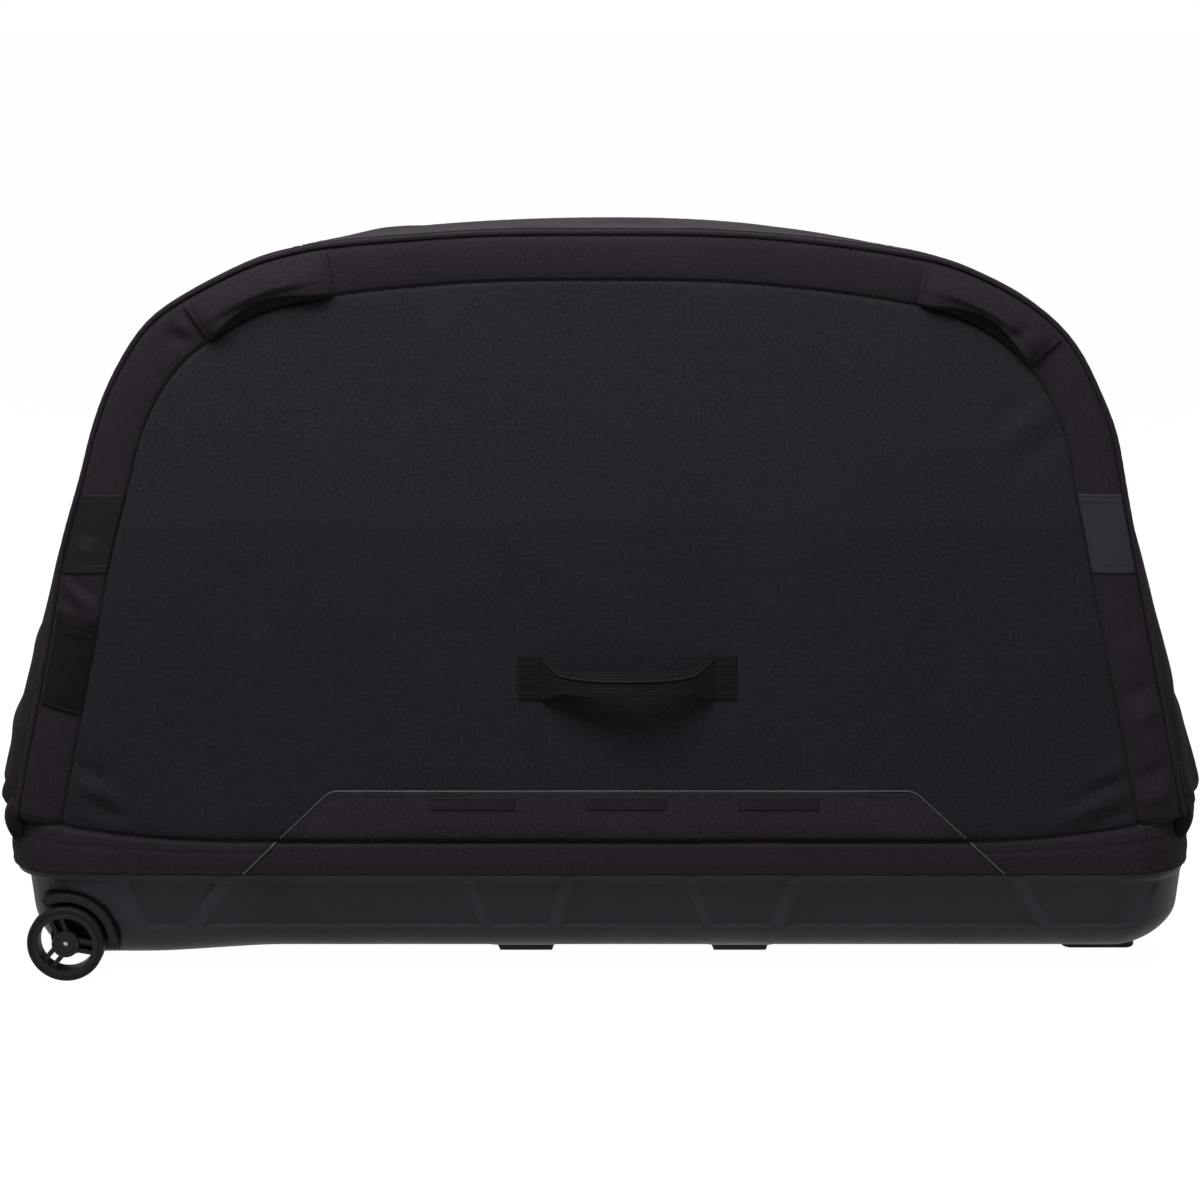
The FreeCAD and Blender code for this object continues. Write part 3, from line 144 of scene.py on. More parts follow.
def hill(values):
    """Soft bump over 0 to 1 that is flat at both ends."""
    return np.sin(np.pi * np.clip(values, 0.0, 1.0)) ** 2


class Arch:
    """Outline of the upper in X and Z: leaning sides, round shoulders and a bowed top."""

    def __init__(self, foot_x, foot_z, lean, top_z, top_radius, shoulder_radius):
        self.foot = (foot_x, foot_z)
        self.lean = lean
        self.top = (top_z, top_radius)
        self.radius = shoulder_radius
        start_x = foot_x - shoulder_radius * math.cos(lean)
        start_z = foot_z - shoulder_radius * math.sin(lean)
        fall = start_z - (top_z - top_radius)
        half_b = fall * math.cos(lean) - start_x * math.sin(lean)
        rest = start_x ** 2 + fall ** 2 - (top_radius - shoulder_radius) ** 2
        run = math.sqrt(half_b ** 2 - rest) - half_b
        self.centre = (start_x - run * math.sin(lean), start_z + run * math.cos(lean))
        self.top_angle = math.atan2(self.centre[1] - (top_z - top_radius), self.centre[0])
        self.side_length = run
        self.shoulder_length = shoulder_radius * (self.top_angle - lean)
        self.half_length = run + self.shoulder_length + top_radius * (math.pi / 2 - self.top_angle)

    def side_x(self, inset, z):
        return self.foot[0] - (z - self.foot[1]) * math.tan(self.lean) - inset / math.cos(self.lean)

    def walk(self, t):
        """Distance from the foot, angle round the shoulder and distance past it, for t from 0 to 1 over the arch."""
        run = (1.0 - np.abs(2.0 * t - 1.0)) * self.half_length
        bend = self.lean + np.clip((run - self.side_length) / self.radius, 0, self.top_angle - self.lean)
        return run, bend, run - self.side_length - self.shoulder_length

    def point(self, t, inset, foot_z):
        """Points from the left foot over the top to the right foot, moved in by an inset."""
        run, bend, over = self.walk(t)
        radius = self.radius - inset
        side_end_z = self.centre[1] + radius * math.sin(self.lean)
        side_z = foot_z + np.clip(run / self.side_length, 0, 1) * (side_end_z - foot_z)
        crown = self.top_angle + np.maximum(over, 0) / self.top[1]
        on_side = run < self.side_length
        on_top = over > 0
        x = np.where(on_top, (self.top[1] - inset) * np.cos(crown), self.centre[0] + radius * np.cos(bend))
        z = np.where(on_top, self.top[0] - self.top[1] + (self.top[1] - inset) * np.sin(crown),
                     self.centre[1] + radius * np.sin(bend))
        x = np.where(on_side, self.side_x(inset, side_z), x)
        return np.where(t < 0.5, -x, x), np.where(on_side, side_z, z)

    def out(self, t):
        """Outward direction at the same points."""
        _, bend, over = self.walk(t)
        angle = bend + np.maximum(over, 0) / self.top[1]
        return np.where(t < 0.5, -np.cos(angle), np.cos(angle)), np.sin(angle)

    def inset(self, x, z):
        """How far inside the outline a point lies."""
        across = np.abs(x)
        side = (self.side_x(0, z) - across) * math.cos(self.lean)
        top = self.top[1] - np.hypot(across, z - self.top[0] + self.top[1])
        angle = np.arctan2(z - self.centre[1], across - self.centre[0])
        corner = (angle > self.lean) & (angle < self.top_angle)
        bend = self.radius - np.hypot(across - self.centre[0], z - self.centre[1])
        return np.where(corner, bend, np.minimum(side, top))


def ridge(x, z, start, end, width, height):
    """Soft fold along a line that fades out at both ends."""
    run_x = end[0] - start[0]
    run_z = end[1] - start[1]
    reach = math.hypot(run_x, run_z)
    along = ((x - start[0]) * run_x + (z - start[1]) * run_z) / reach ** 2
    off = ((x - start[0]) * run_z - (z - start[1]) * run_x) / reach
    return height * np.exp(-(off / width) ** 2) * hill(along)


def unevenness(a, b, scale, seed):
    """Gentle irregular swell between -1 and 1, made of a few crossed waves."""
    total = np.zeros_like(a)
    for wave in range(6):
        turn = seed + wave * 2.4
        pitch = 2 * math.pi / scale * (0.6 + 0.17 * wave)
        total += np.sin((a * math.cos(turn) + b * math.sin(turn)) * pitch + seed * 3.1 + wave * 1.7)
    return total / 6.0


# Folds that show on the front: start and end in X and Z, then half width and height
FRONT_FOLDS = (
    ((0.425, 0.600), (0.505, 0.672), 0.012, 0.0022),
    ((0.448, 0.582), (0.520, 0.650), 0.010, -0.0018),
    ((0.405, 0.615), (0.490, 0.690), 0.011, -0.0014),
    ((0.500, 0.178), (0.612, 0.236), 0.010, 0.0030),
    ((0.520, 0.198), (0.612, 0.252), 0.009, -0.0024),
    ((0.540, 0.232), (0.612, 0.262), 0.010, 0.0018),
    ((0.545, 0.180), (0.616, 0.208), 0.008, -0.0022),
    ((0.606, 0.205), (0.656, 0.236), 0.008, 0.0034),
    ((0.600, 0.230), (0.650, 0.262), 0.008, -0.0026),
    ((0.590, 0.296), (0.634, 0.330), 0.010, 0.0030),
    ((0.584, 0.326), (0.628, 0.356), 0.009, -0.0020),
    ((0.575, 0.400), (0.615, 0.372), 0.011, 0.0018),
    ((-0.604, 0.266), (-0.545, 0.226), 0.010, -0.0026),
    ((-0.600, 0.244), (-0.535, 0.206), 0.010, 0.0024),
    ((-0.590, 0.218), (-0.520, 0.182), 0.009, -0.0024),
    ((-0.604, 0.478), (-0.558, 0.424), 0.006, 0.0024),
    ((-0.594, 0.474), (-0.552, 0.440), 0.006, -0.0020),
    ((-0.610, 0.462), (-0.572, 0.418), 0.006, -0.0018),
    ((-0.482, 0.744), (-0.440, 0.728), 0.008, -0.0030),
    ((-0.470, 0.762), (-0.440, 0.735), 0.006, 0.0018),
    ((0.470, 0.748), (0.440, 0.730), 0.008, -0.0024),
    ((-0.300, 0.842), (-0.270, 0.822), 0.007, -0.0022),
    ((-0.584, 0.534), (-0.552, 0.508), 0.008, -0.0014),
    ((-0.586, 0.510), (-0.556, 0.490), 0.008, 0.0014),
)
BACK_FOLDS = (
    ((0.420, 0.250), (0.600, 0.200), 0.012, 0.0026),
    ((0.500, 0.600), (0.420, 0.680), 0.012, -0.0020),
    ((-0.590, 0.300), (-0.480, 0.210), 0.013, 0.0026),
    ((-0.570, 0.250), (-0.500, 0.190), 0.010, -0.0022),
    ((-0.480, 0.640), (-0.420, 0.700), 0.010, 0.0020),
)
# Places where the stretched cloth leaves the arch: middle in X and Z, reach, then the shift in X and Z
FRONT_SLACK = (
    (-0.562, 0.630, 0.090, 0.0062, -0.0014),
    (-0.330, 0.834, 0.090, -0.0020, 0.0085),
    (-0.492, 0.762, 0.050, -0.0036, 0.0036),
    (-0.600, 0.500, 0.060, -0.0030, 0.0),
    (0.000, 0.850, 0.110, 0.0, -0.0036),
    (0.430, 0.790, 0.070, -0.0010, -0.0036),
    (0.548, 0.680, 0.045, -0.0030, -0.0008),
)
BACK_SLACK = (
    (0.340, 0.826, 0.130, -0.0020, -0.0080),
    (-0.560, 0.640, 0.100, 0.0050, -0.0010),
    (-0.050, 0.850, 0.240, 0.0, -0.0034),
    (-0.375, 0.800, 0.080, 0.0010, -0.0070),
    (0.560, 0.640, 0.090, -0.0040, 0.0),
)
# Grab handles: name, face, end, the two angles round the shoulder, body and node
GRABS = (
    ("front_grab_left", FRONT, -1, 57.0, 93.0, "cover", "grab_handle_left"),
    ("front_grab_right", FRONT, 1, 43.5, 81.0, "cover", "grab_handle_right"),
    ("back_grab_left", BACK, -1, 50.0, 87.0, "case", "back_grab_handles"),
    ("back_grab_right", BACK, 1, 50.0, 87.0, "case", "back_grab_handles"),
)
# How far the stretched front stands over the arch: height, then middle and half width in X, then start and run in Z
FRONT_LIFT = 0.0096
LIFT_MIDDLE, LIFT_HALF_WIDTH = 0.13, 0.46
LIFT_START, LIFT_RUN = 0.53, 0.24
# Rise of the cover's foot and the skirt's top towards the corners: where it starts along X, and its curve
CORNER_START = 0.40
CORNER_CURVE = 0.36
CORNER_FALL = 0.0050
FOOT_GAP = 0.003
# Relief of the padded faces: depth, and the distance over which it fades
SEAM_GROOVE, SEAM_WIDTH = 0.0022, 0.0021
SEAM_PULL = (0.0010, 0.010)
EDGE_FALL = (0.0035, 0.0035)
CREASE_FALL = (0.0030, 0.006)
GRAB_RECESS, GRAB_RECESS_START = 0.0055, 0.034
BORDER_SWELL = 0.0026
SWELL_REACH = 0.09
# Dip behind the carry handle: depth, middle in X and Z, half width and half height
HANDLE_DIP = 0.0020
DIP_X, DIP_Z, DIP_HALF_WIDTH, DIP_HALF_HEIGHT = 0.0305, 0.358, 0.098, 0.040
# Waves of the cloth: height and length
BROAD_WAVE, BROAD_LENGTH = 0.0008, 0.17
FINE_WAVE, FINE_LENGTH = 0.0003, 0.05
FOLD_GAIN = 1.6


def shape():
    return bpy.context.scene.case_shape


def outline():
    sizes = shape()
    return Arch(sizes.arch_half_width, sizes.crease_height, sizes.side_lean, sizes.arch_top, sizes.top_radius,
                sizes.shoulder_radius)


def border_edges():
    """Insets of the border's outer and inner edges from the arch."""
    edge = 2 * shape().piping_radius
    return edge, edge + shape().border_width


def corner_lift(x):
    """How far the cover's foot and the skirt's top rise towards the rounded corners."""
    return CORNER_CURVE * np.maximum(np.abs(x) - CORNER_START, 0) ** 2


def cover_foot(x):
    """Height of the cover's lower edge."""
    return shape().crease_height + FOOT_GAP + corner_lift(x)


def corner_sink(x, z):
    """How far the faces fall back at their low corners, where nothing holds them out."""
    return CORNER_FALL * smooth((np.abs(x) - 0.58) / 0.09) * smooth((0.30 - z) / 0.14)


def fading(distance, depth, reach):
    """Relief that is deepest at a line and fades with the distance from it."""
    return depth * np.exp(-np.maximum(distance, 0) / reach)


def face_rise(x, z, side):
    """How far the padded face stands out from its flat plane."""
    sizes = shape()
    arch = outline()
    inset = arch.inset(x, z)
    edge, seam = border_edges()
    beyond = inset - seam
    rise = -SEAM_GROOVE * np.exp(-(np.abs(beyond) / SEAM_WIDTH) ** 1.2) - fading(np.abs(beyond), *SEAM_PULL)
    angle = np.degrees(np.arctan2(z - arch.centre[1], np.abs(x) - arch.centre[0]))
    for _, face, sign, first, last, _, _ in GRABS:
        if face == side:
            behind = hill((angle - first) / (last - first)) ** 0.4 * (x * sign > 0)
            rise -= (GRAB_RECESS * behind * smooth((inset - GRAB_RECESS_START) / 0.008)
                     * smooth((seam + 0.0035 - inset) / 0.004))
    rise += sizes.swell * (1 - np.exp(-np.maximum(beyond, 0) / SWELL_REACH))
    rise += np.where(beyond < 0, BORDER_SWELL * hill((inset - edge) / sizes.border_width) ** 0.4, 0)
    rise -= fading(inset - edge, *EDGE_FALL)
    rise -= fading(z - cover_foot(x), *CREASE_FALL)
    rise -= corner_sink(x, z)
    across = smooth((DIP_HALF_WIDTH - np.abs(x - DIP_X)) / 0.030)
    rise -= HANDLE_DIP * across * np.exp(-((z - DIP_Z) / DIP_HALF_HEIGHT) ** 2)
    calm = 1 - np.exp(-np.abs(beyond) / 0.02)
    rise += BROAD_WAVE * calm * unevenness(x, z, BROAD_LENGTH, side * 1.3)
    rise += FINE_WAVE * calm * unevenness(x, z, FINE_LENGTH, side * 2.1)
    for start, end, width, height in FRONT_FOLDS if side == FRONT else BACK_FOLDS:
        rise += ridge(x, z, start, end, width, FOLD_GAIN * height)
    return rise


def settle(x, z, side):
    """Where the soft outline really lies for a point of the true arch."""
    moved_x, moved_z = x, z
    for middle_x, middle_z, reach, shift_x, shift_z in FRONT_SLACK if side == FRONT else BACK_SLACK:
        near = np.exp(-((x - middle_x) ** 2 + (z - middle_z) ** 2) / reach ** 2)
        moved_x = moved_x + near * shift_x
        moved_z = moved_z + near * shift_z
    if side == FRONT:
        arch = outline()
        reach = FRONT_LIFT * np.exp(-((x - LIFT_MIDDLE) / LIFT_HALF_WIDTH) ** 8)
        reach *= smooth((z - LIFT_START) / LIFT_RUN)
        lean = np.clip((x - arch.centre[0]) / arch.radius, 0, 1)
        moved_x = moved_x + reach * lean
        moved_z = moved_z + reach * np.sqrt(1 - lean ** 2)
    return moved_x, moved_z


def on_face(x, z, side, over=0.0):
    """Point of the padded face, or of something that lies over it."""
    y = side * (shape().half_depth + face_rise(x, z, side) + over)
    moved_x, moved_z = settle(x, z, side)
    return moved_x, y, moved_z


RIM_CORNER = 0.079


class Rim:
    """Rounded rectangle of the skirt's plan, walked from the middle of the back round the left end."""

    def __init__(self):
        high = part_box("lower_skirt")[1]
        self.corner = RIM_CORNER
        self.side = (high.x - self.corner, high.y - self.corner)
        self.top = high.z
        a, b = self.side
        arc = self.corner * math.pi / 2
        steps = (a, arc, 2 * b, arc, 2 * a, arc, 2 * b, arc, a)
        self.marks = np.concatenate(((0.0,), np.cumsum(steps)))
        self.run = self.marks[-1]

    def point(self, u):
        """Points and outward directions."""
        a, b = self.side
        s = u * self.run
        angle = np.radians(np.interp(s, self.marks, (90, 90, 180, 180, 270, 270, 360, 360, 450, 450)))
        x = np.interp(s, self.marks, (0, -a, -a, -a, -a, a, a, a, a, 0))
        y = np.interp(s, self.marks, (b, b, b, -b, -b, -b, -b, b, b, b))
        return x + self.corner * np.cos(angle), y + self.corner * np.sin(angle), np.cos(angle), np.sin(angle)

    def front_y(self, x):
        """Y of the front for a place along X."""
        past = np.clip((np.abs(x) - self.side[0]) / self.corner, 0, 1)
        return -self.side[1] - self.corner * np.sqrt(1 - past ** 2)


# Seams across the skirt's long sides, as distances along X, and the row sewn along it, as a share of its height
SKIRT_SEAM = 0.614
SKIRT_ROW = 0.70


def rim_lift(x, y):
    """Rise of the skirt's top edge, which dies away round the ends."""
    return corner_lift(x) * smooth((np.abs(y) - 0.105) / 0.04)


def skirt_point(u, v):
    """Surface of the skirt, from its hem to its top edge, with the outward direction."""
    rim = Rim()
    hem = shape().hem_height
    x, y, out_x, out_y = rim.point(u)
    along = u * rim.run
    lift = rim_lift(x, y)
    z = hem + v * (rim.top - hem + lift)
    bulge = 0.0012 * hill(v) - 0.0010 * np.exp(-((v - SKIRT_ROW) / 0.035) ** 2)
    bulge -= 0.0016 * smooth((v - 0.92) / 0.08) + 0.0012 * smooth(lift / 0.01) * v
    bulge += (0.0014 * unevenness(along, z, 0.21, 2.2) + 0.0008 * unevenness(along, z, 0.06, 0.4)) * v
    bulge -= 0.0018 * np.exp(-((np.abs(x) - SKIRT_SEAM) / 0.0025) ** 2) * (np.abs(y) > 0.12)
    droop = -0.0012 * (1 - v) * (1 + unevenness(along, z * 0, 0.33, 1.1))
    return x + out_x * bulge, y + out_y * bulge, z + droop, out_x, out_y


# Seams across the gusset's top, as distances along X, and how far it hangs below its frame's foot
GUSSET_SEAM = 0.330
GUSSET_HANG = 0.012
# How far the gusset reaches past its frame towards the back, and how far up its foot stays swollen
GUSSET_LAP = 0.0055
GUSSET_FULL_RUN = 0.46
# Length of the gusset's rolled-in foot, and how far it rolls in
FOOT_ROLL, FOOT_ROLL_DEPTH = 0.020, 0.008
# Creases of slack cloth on the gusset's top: start and end in X and Y, then height
TOP_CREASES = (
    ((-0.115, -0.122), (-0.050, -0.100), 0.0030),
    ((0.075, -0.118), (0.150, -0.124), 0.0034),
    ((0.170, -0.112), (0.330, -0.122), 0.0026),
    ((-0.300, -0.110), (-0.180, -0.126), 0.0022),
    ((-0.060, 0.020), (0.130, -0.010), 0.0030),
    ((0.200, 0.060), (0.330, 0.020), -0.0026),
    ((-0.320, 0.050), (-0.170, 0.080), 0.0028),
    ((-0.020, 0.100), (0.110, 0.120), -0.0024),
)
# The same on its two sides: start and end in Z and Y, then height
SIDE_CREASES = (
    ((0.560, -0.120), (0.500, 0.030), 0.0034),
    ((0.470, -0.110), (0.420, 0.060), -0.0030),
    ((0.400, -0.060), (0.360, 0.120), 0.0036),
    ((0.300, -0.120), (0.330, 0.000), -0.0036),
    ((0.250, 0.120), (0.300, -0.030), 0.0040),
    ((0.640, -0.100), (0.610, 0.120), -0.0024),
    ((0.700, 0.060), (0.660, -0.040), 0.0030),
    ((0.520, 0.130), (0.560, 0.020), -0.0030),
)
TOP_CREASE_WIDTH, SIDE_CREASE_WIDTH = 0.012, 0.016


def gusset_folds(along, x, y, z):
    """Creases of slack cloth: arched ones on the top, slanting ones on the shoulders and above the end rolls."""
    rise = 0.0018 * unevenness(along, y, 0.24, 0.7) + 0.0008 * unevenness(along, y, 0.08, 1.9)
    rise -= 0.0022 * np.exp(-((np.abs(x) - GUSSET_SEAM) / 0.003) ** 2)
    for start, end, height in TOP_CREASES:
        rise += np.where(z > 0.7, ridge(x, y, start, end, TOP_CREASE_WIDTH, height), 0)
    for start, end, height in SIDE_CREASES:
        rise += np.where(z < 0.75, ridge(z, y * np.sign(x + 0.2), start, end, SIDE_CREASE_WIDTH, height), 0)
    low = np.exp(-np.maximum(z - 0.204, 0) / 0.055)
    return rise + 0.0042 * low * np.sin(y * 95 + 0.8 * np.sin(z * 60) + np.sign(x))


def gusset_share(x):
    """Share along the arch at which its left half, or its right one, reaches a place along X."""
    u = np.linspace(0.0, 0.5, 2000)
    foot = shape().gusset_foot - GUSSET_HANG
    share = np.interp(-abs(x), outline().point(u, 0.0, foot)[0], u)
    return share if x < 0 else 1 - share


def gusset_point(u, v):
    """Surface of the swollen band, from the zip to the back seam."""
    sizes = shape()
    arch = outline()
    low_y, high_y = (corner.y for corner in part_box("gusset_top"))
    foot = sizes.gusset_foot - GUSSET_HANG
    full = (sizes.gusset_half_width - arch.side_x(0.0, foot)) * math.cos(sizes.side_lean)
    share = 1 - np.abs(2 * v - 1) ** 4
    y = low_y + v * (high_y + GUSSET_LAP - low_y)
    from_foot = (1 - np.abs(2 * u - 1)) * arch.half_length
    swell = sizes.gusset_rise + (full - sizes.gusset_rise) * np.clip(1 - (from_foot / GUSSET_FULL_RUN) ** 1.6, 0, 1)
    x, z = arch.point(u, 0.0, foot)
    front_x, front_z = settle(x, z, FRONT)
    back_x, back_z = settle(x, z, BACK)
    out_x, out_z = arch.out(u)
    rise = share * swell + share ** 0.6 * gusset_folds(u * 2 * arch.half_length, x, y, z)
    roll = np.clip((FOOT_ROLL - from_foot) / FOOT_ROLL, 0, 1)
    rise -= FOOT_ROLL_DEPTH * share * (1 - np.sqrt(1 - roll ** 2))
    x = (1 - v) * front_x + v * back_x
    z = (1 - v) * front_z + v * back_z
    return x + out_x * rise, y, z + out_z * rise


def deselect():
    if bpy.context.mode != "OBJECT":
        bpy.ops.object.mode_set(mode="OBJECT")
    bpy.ops.object.select_all(action="DESELECT")


def activate(piece):
    deselect()
    piece.select_set(True)
    bpy.context.view_layer.objects.active = piece


def apply(piece, kind, **settings):
    """Adds a modifier with its settings and applies it."""
    activate(piece)
    modifier = piece.modifiers.new(kind.title(), kind)
    for key, value in settings.items():
        setattr(modifier, key, value)
    bpy.ops.object.modifier_apply(modifier=modifier.name)


def edit(piece, *steps):
    """Runs edit-mode operators on the whole mesh, each as (operator, settings)."""
    activate(piece)
    bpy.ops.object.mode_set(mode="EDIT")
    bpy.ops.mesh.select_all(action="SELECT")
    for operator, settings in steps:
        operator(**settings)
    bpy.ops.object.mode_set(mode="OBJECT")


def points_of(piece):
    """Every point of a mesh, one row each."""
    flat = np.empty(len(piece.data.vertices) * 3)
    piece.data.vertices.foreach_get("co", flat)
    return flat.reshape(-1, 3)


def move_points(piece, points):
    piece.data.vertices.foreach_set("co", points.ravel())
    piece.data.update()


def cloth(name, columns, rows, place, chart, side=FRONT, closed=False):
    """Grid laid on a surface: place gives points for shares u and v, and chart gives metres along the cloth."""
    deselect()
    bpy.ops.mesh.primitive_grid_add(x_subdivisions=columns, y_subdivisions=rows, size=1.0)
    piece = bpy.context.active_object
    piece.name = name
    piece.data.name = name
    flat = points_of(piece)
    u, v = flat[:, 0] + 0.5, flat[:, 1] + 0.5
    mesh = piece.data
    corner = np.empty(len(mesh.loops), dtype=np.int32)
    mesh.loops.foreach_get("vertex_index", corner)
    along, across = chart(u, v)
    mesh.uv_layers[0].data.foreach_set("uv", np.stack((along[corner], across[corner]), axis=1).ravel())
    move_points(piece, np.stack(place(u, v), axis=1))
    if side == BACK:
        edit(piece, (bpy.ops.mesh.flip_normals, {}))
    if closed:
        edit(piece, (bpy.ops.mesh.remove_doubles, {"threshold": 1e-6}), (bpy.ops.mesh.fill_holes, {"sides": 0}),
             (bpy.ops.mesh.normals_make_consistent, {"inside": False}))
    activate(piece)
    bpy.ops.object.shade_smooth()
    return piece


def face_chart(place):
    """Chart of a cloth that lies on a face: its own X and Z."""
    def chart(u, v):
        x, _, z = place(u, v)
        return x, z
    return chart


def face_out(piece, side):
    """Turns a flat piece whose middle looks into the case."""
    if piece.data.polygons[len(piece.data.polygons) // 2].normal.y * side < 0:
        edit(piece, (bpy.ops.mesh.flip_normals, {}))


def thicken(piece, thickness):
    apply(piece, "SOLIDIFY", thickness=thickness, offset=-1.0)


SWELL_PRESSURE = 4.0
SWELL_FRAMES = 20


def puff(piece, limit):
    """Swells a padded piece by a short cloth simulation, in which no point moves further than the limit."""
    scene = bpy.context.scene
    trial = bpy.data.objects.new(f"{piece.name}_trial", piece.data.copy())
    scene.collection.objects.link(trial)
    settings = trial.modifiers.new("Cloth", "CLOTH").settings
    settings.quality = 6
    settings.mass = 0.3
    settings.use_pressure = True
    settings.uniform_pressure_force = SWELL_PRESSURE
    settings.effector_weights.gravity = 0.0
    for number in range(1, SWELL_FRAMES + 1):
        scene.frame_set(number)
    swollen = trial.evaluated_get(bpy.context.evaluated_depsgraph_get())
    start = points_of(piece)
    move = points_of(swollen) - start
    size = np.linalg.norm(move, axis=1, keepdims=True)
    move *= np.minimum(1.0, limit / np.maximum(size, 1e-9))
    move_points(piece, start + move)
    bpy.data.objects.remove(trial)
    scene.frame_set(1)


def keep_off_board(piece):
    """Holds the inner side of a padded skin outside the board that it lies on."""
    points = points_of(piece)
    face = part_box("back_board")[1].y + 0.0004
    points[:, 1] = np.sign(points[:, 1]) * np.maximum(np.abs(points[:, 1]), face)
    move_points(piece, points)


def dress(piece, body, finish, slot, *nodes):
    """Gives a piece its finish and the body it moves with, or only bakes its place when the body is not a name, and
    hides the frame's nodes that it stands for.
    """
    piece.data.materials.clear()
    piece.data.materials.append(finish_called(finish))
    if isinstance(body, str):
        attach(piece, body)
    else:
        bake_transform(piece)
    if nodes:
        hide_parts(*nodes)
    return piece


class Net:
    """Short way to add and link shader nodes in a tree."""

    def __init__(self, tree):
        self.tree = tree

    def add(self, kind, feeds=None, **settings):
        node = self.tree.nodes.new(kind)
        for key, value in settings.items():
            setattr(node, key, value)
        for key, value in (feeds or {}).items():
            self.feed(node.inputs[key], value)
        return node

    def feed(self, socket, value):
        if isinstance(value, bpy.types.NodeSocket):
            self.tree.links.new(value, socket)
        else:
            socket.default_value = value

    def maths(self, operation, first, second=0.0):
        return self.add("ShaderNodeMath", {0: first, 1: second}, operation=operation).outputs[0]

    def fade(self, value, low, high, to_low=0.0, to_high=1.0):
        feeds = {"Value": value, "From Min": low, "From Max": high, "To Min": to_low, "To Max": to_high}
        return self.add("ShaderNodeMapRange", feeds).outputs[0]

    def mix(self, share, first, second):
        node = self.add("ShaderNodeMix", data_type="RGBA")
        self.feed(node.inputs[0], share)
        self.feed(node.inputs[6], first)
        self.feed(node.inputs[7], second)
        return node.outputs[2]

    def noise(self, vector, scale, detail=2.0, roughness=0.5):
        feeds = {"Vector": vector, "Scale": scale, "Detail": detail, "Roughness": roughness}
        return self.add("ShaderNodeTexNoise", feeds).outputs[0]


def effect(name, inputs, outputs):
    """Node group with named sockets: its net, what comes in and what goes out."""
    tree = bpy.data.node_groups.new(name, "ShaderNodeTree")
    tree.interface.new_socket("Vector", in_out="INPUT", socket_type="NodeSocketVector")
    for label, default in inputs.items():
        tree.interface.new_socket(label, in_out="INPUT", socket_type="NodeSocketFloat").default_value = default
    for label in outputs:
        tree.interface.new_socket(label, in_out="OUTPUT", socket_type="NodeSocketFloat")
    net = Net(tree)
    return net, net.add("NodeGroupInput").outputs, net.add("NodeGroupOutput").inputs


def placed(net, make, vector, **values):
    """Outputs of an effect placed in a material with its own values; its node group is made the first time."""
    known = bpy.data.node_groups.get(EFFECTS[make])
    node = net.add("ShaderNodeGroup", node_tree=known or make(EFFECTS[make]))
    for label, value in {"Vector": vector, **values}.items():
        net.feed(node.inputs[label], value)
    return node.outputs


def woven_threads(name):
    """Over and under of a plain weave, with flecks of lighter yarn."""
    net, enter, leave = effect(name, {"Thread": 0.001, "Fuzz": 0.3}, ("Height", "Fleck", "Wear"))
    turns = net.maths("DIVIDE", math.pi, enter["Thread"])
    scaled = net.add("ShaderNodeVectorMath", {0: enter["Vector"], "Scale": turns}, operation="SCALE")
    parts = net.add("ShaderNodeSeparateXYZ", {0: scaled.outputs[0]}).outputs
    warp = net.maths("SINE", parts[0])
    weft = net.maths("SINE", parts[1])
    over = net.maths("GREATER_THAN", net.maths("MULTIPLY", warp, weft), 0.0)
    warp = net.maths("ABSOLUTE", warp)
    weft = net.maths("ABSOLUTE", weft)
    first = net.maths("MULTIPLY", warp, net.maths("POWER", weft, 0.4))
    second = net.maths("MULTIPLY", weft, net.maths("POWER", warp, 0.4))
    cells = net.maths("ADD", net.maths("MULTIPLY", first, over),
                      net.maths("MULTIPLY", second, net.maths("SUBTRACT", 1.0, over)))
    grain = net.noise(enter["Vector"], net.maths("DIVIDE", 0.55, enter["Thread"]), 3.0, 0.6)
    fuzz = net.maths("MULTIPLY", grain, enter["Fuzz"])
    net.feed(leave["Height"], net.maths("ADD", cells, fuzz))
    fleck = net.noise(enter["Vector"], net.maths("DIVIDE", 0.28, enter["Thread"]), 4.0, 0.75)
    net.feed(leave["Fleck"], net.fade(fleck, 0.35, 0.68))
    wear = net.noise(enter["Vector"], 7.0, 4.0, 0.6)
    net.feed(leave["Wear"], net.fade(wear, 0.35, 0.75))
    return net.tree


def moulded_grain(name):
    """Fine spark-eroded grain of a moulding, with broad tone changes and light scuffs."""
    net, enter, leave = effect(name, {"Grain": 0.0012, "Scuffs": 0.3}, ("Height", "Tone", "Scuff"))
    scale = net.maths("DIVIDE", 1.0, enter["Grain"])
    cells = net.add("ShaderNodeTexVoronoi", {"Vector": enter["Vector"], "Scale": scale}).outputs[0]
    speck = net.noise(enter["Vector"], net.maths("MULTIPLY", scale, 1.7), 2.0, 0.6)
    net.feed(leave["Height"], net.maths("ADD", cells, net.maths("MULTIPLY", speck, 0.8)))
    net.feed(leave["Tone"], net.fade(net.noise(enter["Vector"], 9.0, 5.0, 0.65), 0.3, 0.7))
    stretched = net.add("ShaderNodeMapping", {"Vector": enter["Vector"], "Scale": (22.0, 60.0, 160.0)}).outputs[0]
    streak = net.fade(net.noise(stretched, 1.0, 3.0, 0.7), 0.60, 0.78)
    patchy = net.fade(net.noise(enter["Vector"], 5.0, 3.0, 0.6), 0.5, 0.75)
    net.feed(leave["Scuff"], net.maths("MULTIPLY", net.maths("MULTIPLY", streak, patchy), enter["Scuffs"]))
    return net.tree


